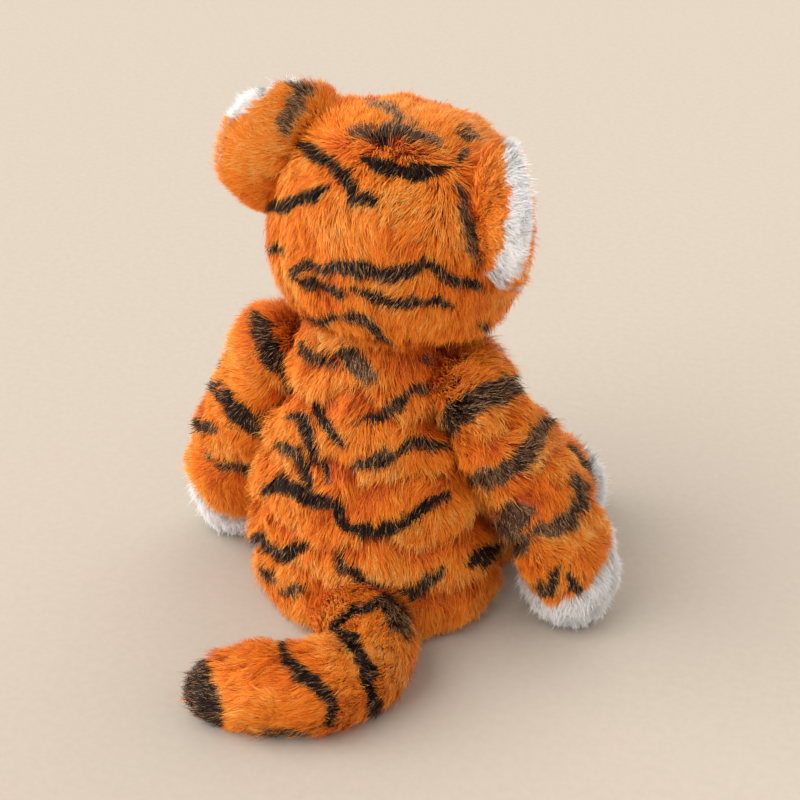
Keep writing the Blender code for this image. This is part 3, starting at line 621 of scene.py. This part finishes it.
def makeRibbons(name, look, own, path, normal, paint):
    count = len(path)
    along = np.gradient(path, axis=1)
    facing = unit(normal + own.normal(0, ribbonLook["turn"], (count, 3)) + ribbonLook["facing"])
    across = unit(np.cross(along, facing[:, None, :]))
    widths = np.array(ribbonLook["widths"]) * furLook["width"] / 2
    widths = own.uniform(*ribbonLook["widthShares"], count)[:, None] * widths
    ofRibbon, ofCloth, ofWay = ribbonLook["shade"]
    shade = unit(np.cross(across, along))
    shade = np.where(np.sum(shade * normal[:, None, :], axis=2, keepdims=True) < 0, -shade, shade)
    shade = shade * ofRibbon + normal[:, None, :] * ofCloth + unit(along) * ofWay
    shade = unit(shade + ribbonLook["shadeUp"])
    faceCorners, faceStarts = np.array(ribbonLook["faceCorners"]), np.array(ribbonLook["faceStarts"])
    each = faceCorners.max() + 1
    points, normals = np.empty((count, each, 3)), np.empty((count, each, 3))
    for i in range(3):
        for place, sign in ((2 * i, -1), (2 * i + 1, 1)):
            points[:, place] = path[:, i] + sign * across[:, i] * widths[:, i, None]
            normals[:, place] = shade[:, i] + sign * across[:, i] * ribbonLook["round"]
    points[:, 6], normals[:, 6] = path[:, 3], shade[:, 3]

    loops = (np.arange(count) * each)[:, None] + faceCorners[None, :]
    starts = (np.arange(count) * len(faceCorners))[:, None] + faceStarts[None, :]
    mesh = bpy.data.meshes.new(name)
    mesh.vertices.add(count * each)
    mesh.vertices.foreach_set("co", points.astype(np.float32).ravel())
    mesh.loops.add(count * len(faceCorners))
    mesh.loops.foreach_set("vertex_index", loops.astype(np.int32).ravel())
    mesh.polygons.add(count * len(faceStarts))
    mesh.polygons.foreach_set("loop_start", starts.astype(np.int32).ravel())
    tones, slots = np.unique(paint.ravel(), return_inverse=True)
    for index in tones:
        mesh.materials.append(furMaterials[index])
    mesh.polygons.foreach_set("material_index", slots.reshape(-1).astype(np.int32))
    mesh.update(calc_edges=True)
    mesh.shade_smooth()
    mesh.normals_split_custom_set_from_vertices(unit(normals).reshape(-1, 3).astype(np.float32))
    fur = addObject(name, mesh)
    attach(fur, look["body"])


def growCoat(name, look):
    seed = coatSeeds[name]
    own = np.random.default_rng(seed)
    look.setdefault("inset", clothLook["inset"])
    corners, faces, normals = outerFaces(look["node"], look["spine"])
    makeCloth(name, look, corners, faces, normals)
    surface, normal = scatter(look, own, corners, faces, normals)
    path, lockTone, paintedFoldShadeAndLight, rim = growStrands(look, own, seed, surface, normal)
    paint, white = paintStrands(look, own, seed, path, normal, lockTone, paintedFoldShadeAndLight, rim)
    shown = unit(normal + np.array(look["shadeLean"])) if "shadeLean" in look else normal
    for label, mask in (("orange", ~white), ("white", white)):
        chosen = np.nonzero(mask)[0]
        pieces = math.ceil(len(chosen) / furLook["mostInPiece"])
        for number, part in enumerate(np.array_split(chosen, pieces) if pieces else []):
            title = f"{name}_{label}_fur_{number + 1}"
            makeRibbons(title, look, own, path[part], shown[part], paint[part])
    print(f"{name}: {look['strands']} strands")


# Ways of brushing
combLook = {
    "bodyInwards": 5,  # how strongly the body's pile draws in towards its middle
    "armHigh": (0.078, 0.045),  # from this height, over this length, an arm's pile turns outwards
    "armTurn": (0.85, 0.95),  # how much of its way along the arm goes, and how much outwards comes in
    "shoulder": (1.0, 0.25, -0.2),
    "parting": (0.0, 0.020, 0.028),  # the parting's place from the head's middle
    "partingHalf": 0.045,  # how far it runs to each side
    "partingShare": 0.85,
    "headDown": -0.25,
}


def brushDown(places, normals, way):
    inwards = -combLook["bodyInwards"] * places[:, 0]
    return np.stack((inwards, np.zeros(len(places)), np.full(len(places), -1.0)), axis=1)


def brushAlong(places, normals, way):
    return way


# an arm's pile runs outwards at the shoulder and then along the arm
def brushArm(places, normals, way):
    start, over = combLook["armHigh"]
    high = np.clip((places[:, 2:3] - start) / over, 0, 1)
    less, more = combLook["armTurn"]
    outwards = np.sign(places[:, 0:1]) * np.array((combLook["shoulder"],))
    return way * (1 - less * high) + outwards * more * high


headMiddle = middleOf("head_cover")


# the head's pile runs away from a parting that lies across its back, high up
def brushHead(places, normals, way):
    half = combLook["partingHalf"]
    parting = np.repeat([headMiddle + np.array(combLook["parting"])], len(places), axis=0)
    parting[:, 0] += np.clip(places[:, 0] - headMiddle[0], -half, half) * combLook["partingShare"]
    return unit(places - parting) + np.array((0.0, 0.0, combLook["headDown"]))


def brushFromNose(places, normals, way):
    return places - np.array(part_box("nose")).mean(axis=0)


# Body
foldSag = 0.10  # how much its folds sink towards its sides
bodyLook = {
    "node": "body_cover",
    "body": "body",
    "kind": "orange",
    "strands": 140000,
    "spine": [(0.0, 0.0, 0.030), (0.0, -0.004, 0.090), (0.0, -0.012, 0.135)],
    "comb": brushDown,
    "length": 0.0125,
    "lift": 0.0084,
    "measure": lambda places: -places[:, 2] - foldSag * np.abs(places[:, 0]),
    "folds": [-0.175, -0.140, -0.1166, -0.092, -0.058, -0.036, 0.0],
    "foldDepth": 0.72,
    "foldDip": 0.0034,
    "stripeWide": 1.12,
    "stripes": [
        ([(308, 318), (322, 321), (338, 317)], 5, 0.4),
        ([(345, 316), (363, 318), (374, 329), (390, 339)], 5, 0.4),
        ([(478, 322), (488, 328)], 4, 0.5),
        ([(303, 344), (308, 349)], 3, 0.6),
        ([(303, 353), (320, 361), (334, 368)], 5, 0.8),
        ([(343, 355), (358, 365), (372, 376)], 9, 1.0),
        ([(422, 361), (436, 357), (445, 355)], 4, 0.7),
        ([(358, 422), (373, 421), (386, 415), (398, 403), (416, 388), (438, 385)], 5, 0.6),
        ([(315, 404), (322, 418), (336, 434), (347, 445)], 5, 0.5),
        ([(290, 416), (304, 418), (311, 441), (320, 463), (331, 481)], 5, 0.6),
        ([(281, 445), (297, 452), (306, 472), (313, 486)], 5, 0.6),
        ([(268, 493), (281, 481), (297, 488), (320, 500), (336, 504), (342, 515)], 7, 0.4),
        ([(338, 518), (354, 529), (376, 533), (399, 524), (417, 513), (433, 500), (447, 495)], 6.5, 0.3),
        ([(354, 465), (372, 461), (390, 456), (404, 447), (422, 443), (445, 448)], 6, 0.7),
        ([(254, 545), (261, 538), (270, 549), (284, 558), (290, 552), (306, 545)], 6, 0.4),
        ([(265, 567), (275, 581)], 5, 0.7),
        ([(284, 590), (304, 588)], 4, 0.7),
        ([(338, 558), (349, 570), (363, 581), (376, 588), (390, 592), (417, 592), (433, 574),
          (442, 567)], 5.5, 0.6),
        ([(472, 563), (485, 556), (497, 547)], 7, 0.4),
    ],
    "stripesFront": [
        ([(-58, 112), (-44, 106), (-31, 110)], 2.6, 0.5),
        ([(-60, 82), (-46, 76), (-34, 80)], 2.8, 0.5),
        ([(-60, 54), (-44, 50), (-30, 54)], 2.4, 0.6),
        ([(58, 108), (46, 103), (32, 108)], 2.6, 0.5),
        ([(60, 86), (48, 79), (34, 82)], 2.6, 0.5),
        ([(60, 56), (46, 51), (30, 56)], 2.6, 0.6),
    ],
}
bellyLook = {
    "node": "belly_panel",
    "body": "body",
    "kind": "white",
    "strands": 13000,
    "spine": bodyLook["spine"],
    "comb": brushDown,
    "length": 0.0115,
    "lift": 0.0080,
}
for key in ("measure", "folds", "foldDepth", "foldDip"):
    bellyLook[key] = bodyLook[key]
growCoat("body", bodyLook)
growCoat("belly", bellyLook)

# Head
eyeClear = {"near": 0.0045, "over": 0.016, "least": 0.10}  # the pile grows shorter towards the eyes


def nearEyes(places):
    eyes = [np.array(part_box(f"{label}_eye")).mean(axis=0) for label in ("left", "right")]
    near = np.min([np.linalg.norm(places - eye, axis=1) for eye in eyes], axis=0)
    return np.clip((near - eyeClear["near"]) / eyeClear["over"], eyeClear["least"], 1)


headLook = {
    "node": "head_cover",
    "body": "head",
    "kind": "orange",
    "strands": 115000,
    "spine": [tuple(headMiddle)],
    "comb": brushHead,
    "trim": nearEyes,
    "inset": 0.0042,
    "length": 0.0116,
    "lift": 0.0067,
    "stripes": [
        ([(289, 144), (306, 149), (327, 161), (344, 175), (351, 185), (354, 204)], 6, 0.4),
        ([(267, 209), (296, 202), (327, 190)], 7, 0.3),
        ([(363, 163), (382, 168), (406, 174), (426, 173), (445, 169)], 6.5, 0.3),
        ([(349, 132), (378, 132), (404, 130), (421, 137), (440, 144)], 7, 1.0),
        ([(354, 204), (368, 197), (373, 202)], 6, 0.5),
        ([(370, 103), (392, 113), (402, 122)], 5, 1.0),
        ([(457, 132), (476, 139)], 4.5, 0.8),
        ([(459, 161), (464, 151)], 4.5, 0.8),
        ([(459, 190), (466, 216), (471, 238), (476, 264)], 7, 1.0),
        ([(296, 269), (303, 264), (334, 269), (349, 266), (368, 271), (392, 274), (416, 269), (428, 262),
          (442, 274), (459, 281), (478, 286)], 7.5, 0.6),
        ([(296, 276), (313, 283), (334, 288), (344, 293)], 5.5, 0.5),
        ([(354, 286), (373, 295), (392, 302), (416, 300), (440, 302), (454, 302)], 5.5, 0.5),
        ([(272, 250), (284, 247)], 5.5, 0.5),
        ([(308, 318), (322, 321), (338, 317)], 5, 0.5),
        ([(345, 316), (363, 318), (374, 329), (390, 339)], 5.5, 0.6),
        ([(478, 322), (488, 328)], 4, 0.5),
        ([(303, 344), (308, 349)], 3, 0.6),
        ([(343, 353), (356, 360), (372, 366)], 6, 1.0),
    ],
    "stripesFront": [
        ([(-8, 216), (-7.5, 207), (-7, 200)], 1.9, 0.5),
        ([(-17, 214), (-14, 206), (-10, 202)], 1.7, 0.5),
        ([(2, 215), (-1, 207), (-4, 202)], 1.7, 0.5),
        ([(-58, 190), (-49, 187), (-43, 182)], 2.2, 0.6),
        ([(-57, 177), (-49, 176), (-42, 173)], 2.2, 0.6),
        ([(-52, 165), (-45, 166), (-39, 166)], 1.8, 0.6),
        ([(46, 196), (36, 192), (29, 187)], 2.2, 0.6),
        ([(47, 183), (37, 181), (29, 177)], 2.2, 0.6),
        ([(44, 170), (35, 171), (27, 170)], 1.8, 0.6),
    ],
    "whitesFront": [
        ([(-30, 164), (-20, 158), (-9, 155), (2, 159), (11, 167)], 9, 0.8),
        ([(-30, 195), (-26, 197)], 4.0, 0.6),
        ([(9, 198), (14, 198)], 4.0, 0.6),
    ],
}
muzzleBehind = (0.0, 0.008, 0.0)  # from the muzzle's middle to the place that its pile stands away from
muzzleLook = {
    "node": "muzzle",
    "body": "head",
    "kind": "white",
    "strands": 11000,
    "spine": [tuple(middleOf("muzzle") + muzzleBehind)],
    "comb": brushFromNose,
    "inset": 0.0026,
    "length": 0.0055,
    "lift": 0.0036,
}
growCoat("head", headLook)
growCoat("muzzle", muzzleLook)

# Ears: each half's fur grows only on its dome, and white lining shows round the rim
earLook = {
    "strands": 19000,
    "behind": 0.016,  # how far behind its flat face the place lies that a dome looks away from
    "inset": 0.0022,
    "length": {"back": 0.0084, "lining": 0.0066},
    "lift": {"back": 0.0036, "lining": 0.0031},
    "spread": 1.3,
    "comb": (0.6, 0.8),  # away from the ear's middle, and away from the head
    "liningLean": (-0.35, (0.0, 0.0, 0.8)),  # its shading leans towards the ear's other half, and up
}
earStripes = {
    "left": [([(289, 77), (303, 91), (291, 108), (284, 132)], 9, 1.0)],
    "right": [
        ([(459, 190), (466, 216), (471, 238), (476, 264)], 6, 1.0),
        ([(452, 150), (458, 170)], 5, 0.9),
    ],
}
earWhites = {
    "left": [([(233, 116), (248, 98), (272, 82)], 8, 0.7)],
    "right": [([(512, 148), (521, 178), (522, 215), (515, 250), (501, 275), (486, 286)], 12, 0.3)],
}


def dressEar(label, half):
    name, otherName = f"{label}_ear_{half}", f"{label}_ear_{'back' if half == 'lining' else 'lining'}"
    middle = cornersOf(name).mean(axis=0)
    out = unit(middle - cornersOf(otherName).mean(axis=0))
    fromMiddle, fromHead = earLook["comb"]
    base = unit(middle - headMiddle)
    look = {
        "node": name,
        "body": "head",
        "kind": "orange" if half == "back" else "white",
        "strands": earLook["strands"],
        "spine": [tuple(middle - out * earLook["behind"])],
        "comb": lambda places, normals, way: unit(places - middle) * fromMiddle + base * fromHead,
        "inset": earLook["inset"],
        "length": earLook["length"][half],
        "lift": earLook["lift"][half],
        "spread": earLook["spread"],
    }
    if half == "back":
        look["stripes"], look["whites"] = earStripes[label], earWhites[label]
    else:
        inwards, up = earLook["liningLean"]
        look["shadeLean"] = tuple(inwards * out + np.array(up))
    growCoat(name, look)


for label in ("left", "right"):
    dressEar(label, "back")
    dressEar(label, "lining")

# Arms and paws
armLook = {
    "strands": 54000,
    "pawStrands": 20000,
    "pawLength": 0.0094,
    "pawLift": 0.0078,
    "whiteEdge": 0.0056,
    "length": 0.0118,
    "lift": 0.0082,
    "folds": [-0.02, 0.008, 0.038, 0.068, 0.094, 0.125],
    "foldDepth": 0.55,
    "foldDip": 0.0024,
    "stripeWide": 1.38,
    "spread": 1.25,
    "pawFacing": (0.26, -0.70, -0.66),
    "pawComb": (0.15, 0.6, (0.0, 0.0, -0.7)),  # away from the paw's middle, on along the arm, and down
    "pawLean": (0.0, 0.0, 1.8),  # the white pile's shading leans up
}
armSpines = {
    "left": [
        (0.043, 0.005, 0.118),
        (0.056, -0.004, 0.080),
        (0.072, -0.012, 0.050),
        (0.0795, -0.022, 0.018),
    ],
    "right": [
        (-0.043, 0.005, 0.118),
        (-0.060, 0.000, 0.080),
        (-0.078, -0.005, 0.050),
        (-0.0875, -0.010, 0.018),
    ],
}
armStripes = {
    "left": [
        ([(254, 318), (260, 324), (266, 341), (272, 356), (284, 369), (292, 385), (297, 390)], 7, 0.6),
        ([(212, 367), (221, 358)], 5, 0.6),
        ([(200, 390), (206, 387)], 4, 0.6),
        ([(211, 387), (221, 384)], 4, 0.6),
        ([(224, 395), (234, 407), (244, 418), (257, 425), (267, 427), (278, 416), (286, 405),
          (294, 402)], 7, 0.5),
        ([(195, 428), (200, 424), (215, 430)], 4, 0.7),
        ([(221, 464), (232, 465), (243, 468), (254, 464)], 3.5, 0.7),
        ([(209, 452), (212, 458)], 2.5, 0.7),
    ],
    "right": [
        ([(451, 433), (454, 416), (467, 407), (484, 398), (502, 389), (517, 385), (530, 383)], 9, 0.8),
        ([(469, 484), (478, 477), (498, 473), (513, 464), (526, 451), (535, 438), (544, 425),
          (550, 418)], 7, 0.9),
        ([(505, 548), (507, 528), (515, 515), (530, 512)], 10, 1.0),
        ([(513, 552), (526, 537)], 8, 1.0),
        ([(575, 477), (581, 493), (577, 506), (568, 519), (555, 526), (535, 530)], 6.5, 0.9),
        ([(555, 568), (551, 592)], 4, 0.6),
        ([(570, 574), (579, 594)], 4, 0.6),
        ([(541, 580), (544, 594)], 4, 0.6),
    ],
}


def dressArm(label, side):
    out, forward, down = armLook["pawFacing"]
    seam = (side * out, forward, down)
    shared = {"body": f"{label}_arm", "spine": armSpines[label], "comb": brushArm}
    arm = {
        **shared,
        **{key: armLook[key] for key in ("strands", "length", "lift", "folds", "foldDepth", "foldDip")},
        **{key: armLook[key] for key in ("stripeWide", "spread", "whiteEdge")},
        "foldSeed": coatSeeds[f"{label}_arm"],
        "node": f"{label}_arm",
        "kind": "orange",
        "stripes": armStripes[label],
        "seam": seam,
    }
    facing, middle = unit(np.array(seam)), cornersOf(f"{label}_paw").mean(axis=0)
    fromMiddle, along, sink = armLook["pawComb"]
    paw = {
        **shared,
        "node": f"{label}_paw",
        "kind": "white",
        "strands": armLook["pawStrands"],
        "spine": [armSpines[label][-1]],
        "length": armLook["pawLength"],
        "lift": armLook["pawLift"],
        "comb": lambda places, normals, way: fromMiddle * unit(places - middle) + along * facing + sink,
        "shadeLean": armLook["pawLean"],
    }
    growCoat(f"{label}_arm", arm)
    growCoat(f"{label}_paw", paw)


dressArm("left", 1)
dressArm("right", -1)

# Legs and feet
legLook = {
    "strands": 30000,
    "footStrands": 9000,
    "inset": 0.0042,
    "length": 0.0114,
    "lift": 0.0066,
    "hip": (0.030, -0.033, 0.025),
    "out": {"left": 0.008, "right": 0.0253},  # how far outwards and forwards the foot lies from the hip
    "forward": 0.042,
    "drop": 0.003,
    "beyond": 0.12,  # how far the middle line goes on, as a share of the leg
    "downShare": 0.5,  # how far down its sole faces, as a share of that
    "whiteEdge": 0.002,
    "footLean": (0.0, 0.0, 1.2),
    "stripes": {
        "left": [],
        "right": [
            ([(566, 447), (579, 462), (595, 475), (601, 495)], 6.5, 0.8),
            ([(568, 460), (579, 486)], 5, 1.0),
        ],
    },
}


def dressLeg(label, side):
    reach = (side * legLook["out"][label], -legLook["forward"])
    facing = (*reach, -legLook["forward"] * legLook["downShare"])
    out, forward, up = legLook["hip"]
    hip = np.array((side * out, forward, up))
    foot = hip + (*reach, -legLook["drop"])
    end = foot + np.array((*reach, 0)) * legLook["beyond"]
    shared = {"body": f"{label}_leg"}
    shared.update({key: legLook[key] for key in ("inset", "length", "lift")})
    leg = {
        **shared,
        "node": f"{label}_leg",
        "kind": "orange",
        "strands": legLook["strands"],
        "spine": [tuple(hip), tuple(foot), tuple(end)],
        "comb": brushAlong,
        "stripes": legLook["stripes"][label],
        "seam": facing,
        "whiteEdge": legLook["whiteEdge"],
    }
    sole = {
        **shared,
        "node": f"{label}_foot",
        "kind": "white",
        "strands": legLook["footStrands"],
        "spine": [tuple(foot)],
        "comb": lambda places, normals, way: np.repeat([facing], len(places), axis=0),
        "shadeLean": legLook["footLean"],
    }
    growCoat(f"{label}_leg", leg)
    growCoat(f"{label}_foot", sole)


dressLeg("left", 1)
dressLeg("right", -1)

# Tail
tailLook = {
    "node": "tail",
    "body": "tail",
    "kind": "orange",
    "strands": 52000,
    "spine": [
        (-0.004, 0.045, 0.016), (-0.013, 0.052, 0.016), (-0.021, 0.059, 0.016), (-0.0255, 0.069, 0.016),
        (-0.0255, 0.081, 0.016), (-0.020, 0.093, 0.016), (-0.009, 0.1015, 0.016), (0.004, 0.1055, 0.016),
        (0.016, 0.1075, 0.015), (0.0275, 0.1095, 0.013),
    ],
    "comb": brushAlong,
    "inset": 0.0046,
    "length": 0.0118,
    "lift": 0.0071,
    "folds": [-0.02, 0.030, 0.062, 0.092, 0.14],
    "foldDepth": 0.18,
    "stripes": [
        ([(336, 626), (350, 613), (368, 609), (385, 600)], 5, 0.6),
        ([(385, 600), (395, 615), (405, 635)], 10, 1.0),
        ([(336, 632), (352, 642), (365, 664), (368, 686), (374, 712), (384, 722)], 7, 0.5),
        ([(282, 645), (288, 661), (301, 674), (323, 690), (333, 706), (330, 722)], 6.5, 0.5),
        ([(262, 730), (307, 733)], 3, 0.8),
        ([(190, 660), (200, 688), (213, 722)], 16, 0.5),
    ],
}
growCoat("tail", tailLook)

# Eyes, their washers, the nose and the mouth's thread
faceLook = {
    "eye": finish((30, 19, 13), (12, 8, 6), roughness=0.06, size=0.004, deep=0.00001),
    "washer": finish((236, 236, 230), (220, 220, 213), roughness=0.5, size=0.002, deep=0.00005),
    "nose": finish((118, 70, 62), (88, 48, 43), roughness=0.85, size=0.0008, deep=0.0002, sheen=0.25),
    "thread": finish((66, 46, 38), (44, 30, 25), roughness=0.8, size=0.0007, deep=0.0001),
    "threadRadius": 0.00065,
    "threadProud": 0.0012,
    "threadRound": 2,
    "threadOrder": 3,
    "underNose": 0.001,  # the thread starts this far over the nose's lower edge
    "inFrontOf": 0.05,  # from where the muzzle's face is looked for
    # millimetres sideways and up from there
    "mouth": [
        [(0, 0), (0, -3), (0, -7)],
        [(0, -7), (3, -9.5), (7, -10.5), (11, -9), (13.5, -6)],
        [(0, -7), (-3, -9.5), (-7, -10.5), (-11, -9), (-13.5, -6)],
    ],
}


def recolour(name, material):
    mesh = nodes[name].data
    mesh.materials.clear()
    mesh.materials.append(material)


def finishFace():
    materials = {kind: makeGrained(kind, faceLook[kind]) for kind in ("eye", "washer", "nose")}
    recolour("nose", materials["nose"])
    for label in ("left", "right"):
        recolour(f"{label}_eye", materials["eye"])
        recolour(f"{label}_eye_washer", materials["washer"])
    print("face: nose, eyes and washers coloured")


# the mouth is sewn with thread over the muzzle
def sewMouth():
    low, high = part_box("nose")
    start = np.array(((low[0] + high[0]) / 2, low[2] + faceLook["underNose"]))
    before = low[1] - faceLook["inFrontOf"]
    faces = [face.vertices for face in nodes["muzzle"].data.polygons]
    muzzle = BVHTree.FromPolygons(cornersOf("muzzle"), faces)
    curve = bpy.data.curves.new("mouth_thread", "CURVE")
    curve.dimensions = "3D"
    curve.bevel_depth = faceLook["threadRadius"]
    curve.bevel_resolution = faceLook["threadRound"]
    curve.use_fill_caps = True
    curve.materials.append(makeGrained("thread", faceLook["thread"]))
    for line in faceLook["mouth"]:
        spots = [start + np.array(step) / 1000 for step in line]
        hits = [muzzle.ray_cast((x, before, z), (0, 1, 0)) for x, z in spots]
        places = [place + normal * faceLook["threadProud"] for place, normal, _, _ in hits if place]
        spline = curve.splines.new("POLY")
        spline.points.add(len(places) - 1)
        for point, place in zip(spline.points, places):
            point.co = (*place, 1)
        spline.type = "NURBS"
        spline.use_endpoint_u = True
        spline.order_u = faceLook["threadOrder"]
    thread = addObject("mouth_thread", curve)
    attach(thread, "head")
    print(f"mouth: {len(curve.splines)} threads")


finishFace()
sewMouth()

# Filling and the pellet bag, inside the covers
fillingLook = {
    "stuffing": finish((240, 238, 232), (214, 211, 204), roughness=0.95, size=0.0014, deep=0.0008),
    "pellet_cloth": finish((226, 222, 212), (200, 194, 182), roughness=0.9, size=0.0008, deep=0.0002),
    "seed": 40,
    "lumpShape": [(1.0, 0.012, 6, 0)],
    "lumps": 0.0004,  # how far the filling's lumps go in and out
    "lumpsIn": 2,  # how many times as far the whole face is drawn in, so that no lump meets its cover
    "fill": 0.8,
    "pieces": {
        "body_stuffing": "body",
        "pellet_bag": "body",
        "head_stuffing": "head",
        "left_arm_stuffing": "left_arm",
        "right_arm_stuffing": "right_arm",
        "left_leg_stuffing": "left_leg",
        "right_leg_stuffing": "right_leg",
        "tail_stuffing": "tail",
    },
}


def makeFilling():
    materials = {kind: makeGrained(kind, fillingLook[kind]) for kind in ("stuffing", "pellet_cloth")}
    for name, body in fillingLook["pieces"].items():
        kind = "pellet_cloth" if name == "pellet_bag" else "stuffing"
        mesh = nodes[name].data.copy()
        mesh.name = f"{name}_lumps"
        places = cornersOf(name)
        normals = np.array([tuple(corner.normal) for corner in mesh.vertices])
        lumps = addedWaves(places, fillingLook["lumpShape"], fillingLook["seed"]) - fillingLook["lumpsIn"]
        lumps = fillingLook["lumps"] * lumps
        mesh.vertices.foreach_set("co", (places + normals * lumps[:, None]).astype(np.float32).ravel())
        mesh.materials.clear()
        mesh.materials.append(materials[kind])
        mesh.shade_smooth()
        piece = addObject(f"{name}_lumps", mesh)
        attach(piece, body)
        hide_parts(name)
    print(f"filling: {len(fillingLook['pieces'])} pieces")


makeFilling()

# Floor, lamps and camera
stageLook = {
    "floor": finish((206, 192, 176), (203, 189, 173), roughness=0.92, size=0.004, deep=0.00005),
    "floorHalf": 6,
    "keyPower": 2.45,
    "keySpread": 74,  # degrees that a lamp fills, which makes its shadows soft
    "keyPlace": (1.0, -3.1, 2.2),  # back towards the camera, to its right, and up
    "fillPower": 0.5,
    "fillSpread": 52,
    "fillPlace": (-2.6, 1.2, 3.4),
    "lit": (0.0, 0.0, 0.08),  # where the lamps look
    "sky": (250, 249, 247),
    "skyStrength": 0.75,
}


def makeStage():
    half = stageLook["floorHalf"]
    corners = [(-half, -half, 0), (half, -half, 0), (half, half, 0), (-half, half, 0)]
    mesh = bpy.data.meshes.new("floor")
    mesh.from_pydata(corners, [], [(0, 1, 2, 3)])
    mesh.materials.append(makeGrained("floor", stageLook["floor"]))
    addObject("floor", mesh)


def makeLamp(name):
    back, right, up = stageLook[f"{name}Place"]
    place = Vector(cameraBack * back + cameraRight * right + np.array((0, 0, up)))
    light = bpy.data.lights.new(name, "SUN")
    light.angle = math.radians(stageLook[f"{name}Spread"])
    light.energy = stageLook[f"{name}Power"]
    lamp = addObject(name, light)
    lamp.location = place
    lamp.rotation_euler = (Vector(stageLook["lit"]) - place).to_track_quat("-Z", "Y").to_euler()


def makeSky():
    world = bpy.data.worlds.new("sky")
    world.use_nodes = True
    sky = world.node_tree.nodes["Background"]
    sky.inputs["Color"].default_value = toLinear(stageLook["sky"])
    sky.inputs["Strength"].default_value = stageLook["skyStrength"]
    bpy.context.scene.world = world


def makeCamera():
    camera = bpy.data.cameras.new("camera")
    camera.lens = cameraLook["lens"]
    camera.sensor_width = cameraLook["sensor"]
    view = addObject("camera", camera)
    turn = (-Vector(cameraBack)).to_track_quat("-Z", "Y").to_matrix().to_4x4()
    view.matrix_world = Matrix.Translation(Vector(cameraPlace)) @ turn
    bpy.context.scene.camera = view
    bpy.context.scene.view_settings.view_transform = "Standard"


makeStage()
makeLamp("key")
makeLamp("fill")
makeSky()
makeCamera()
print("stage: floor, two lamps, sky and camera")

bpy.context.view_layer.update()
startBounds = [corner.tolist() for corner in startBounds]
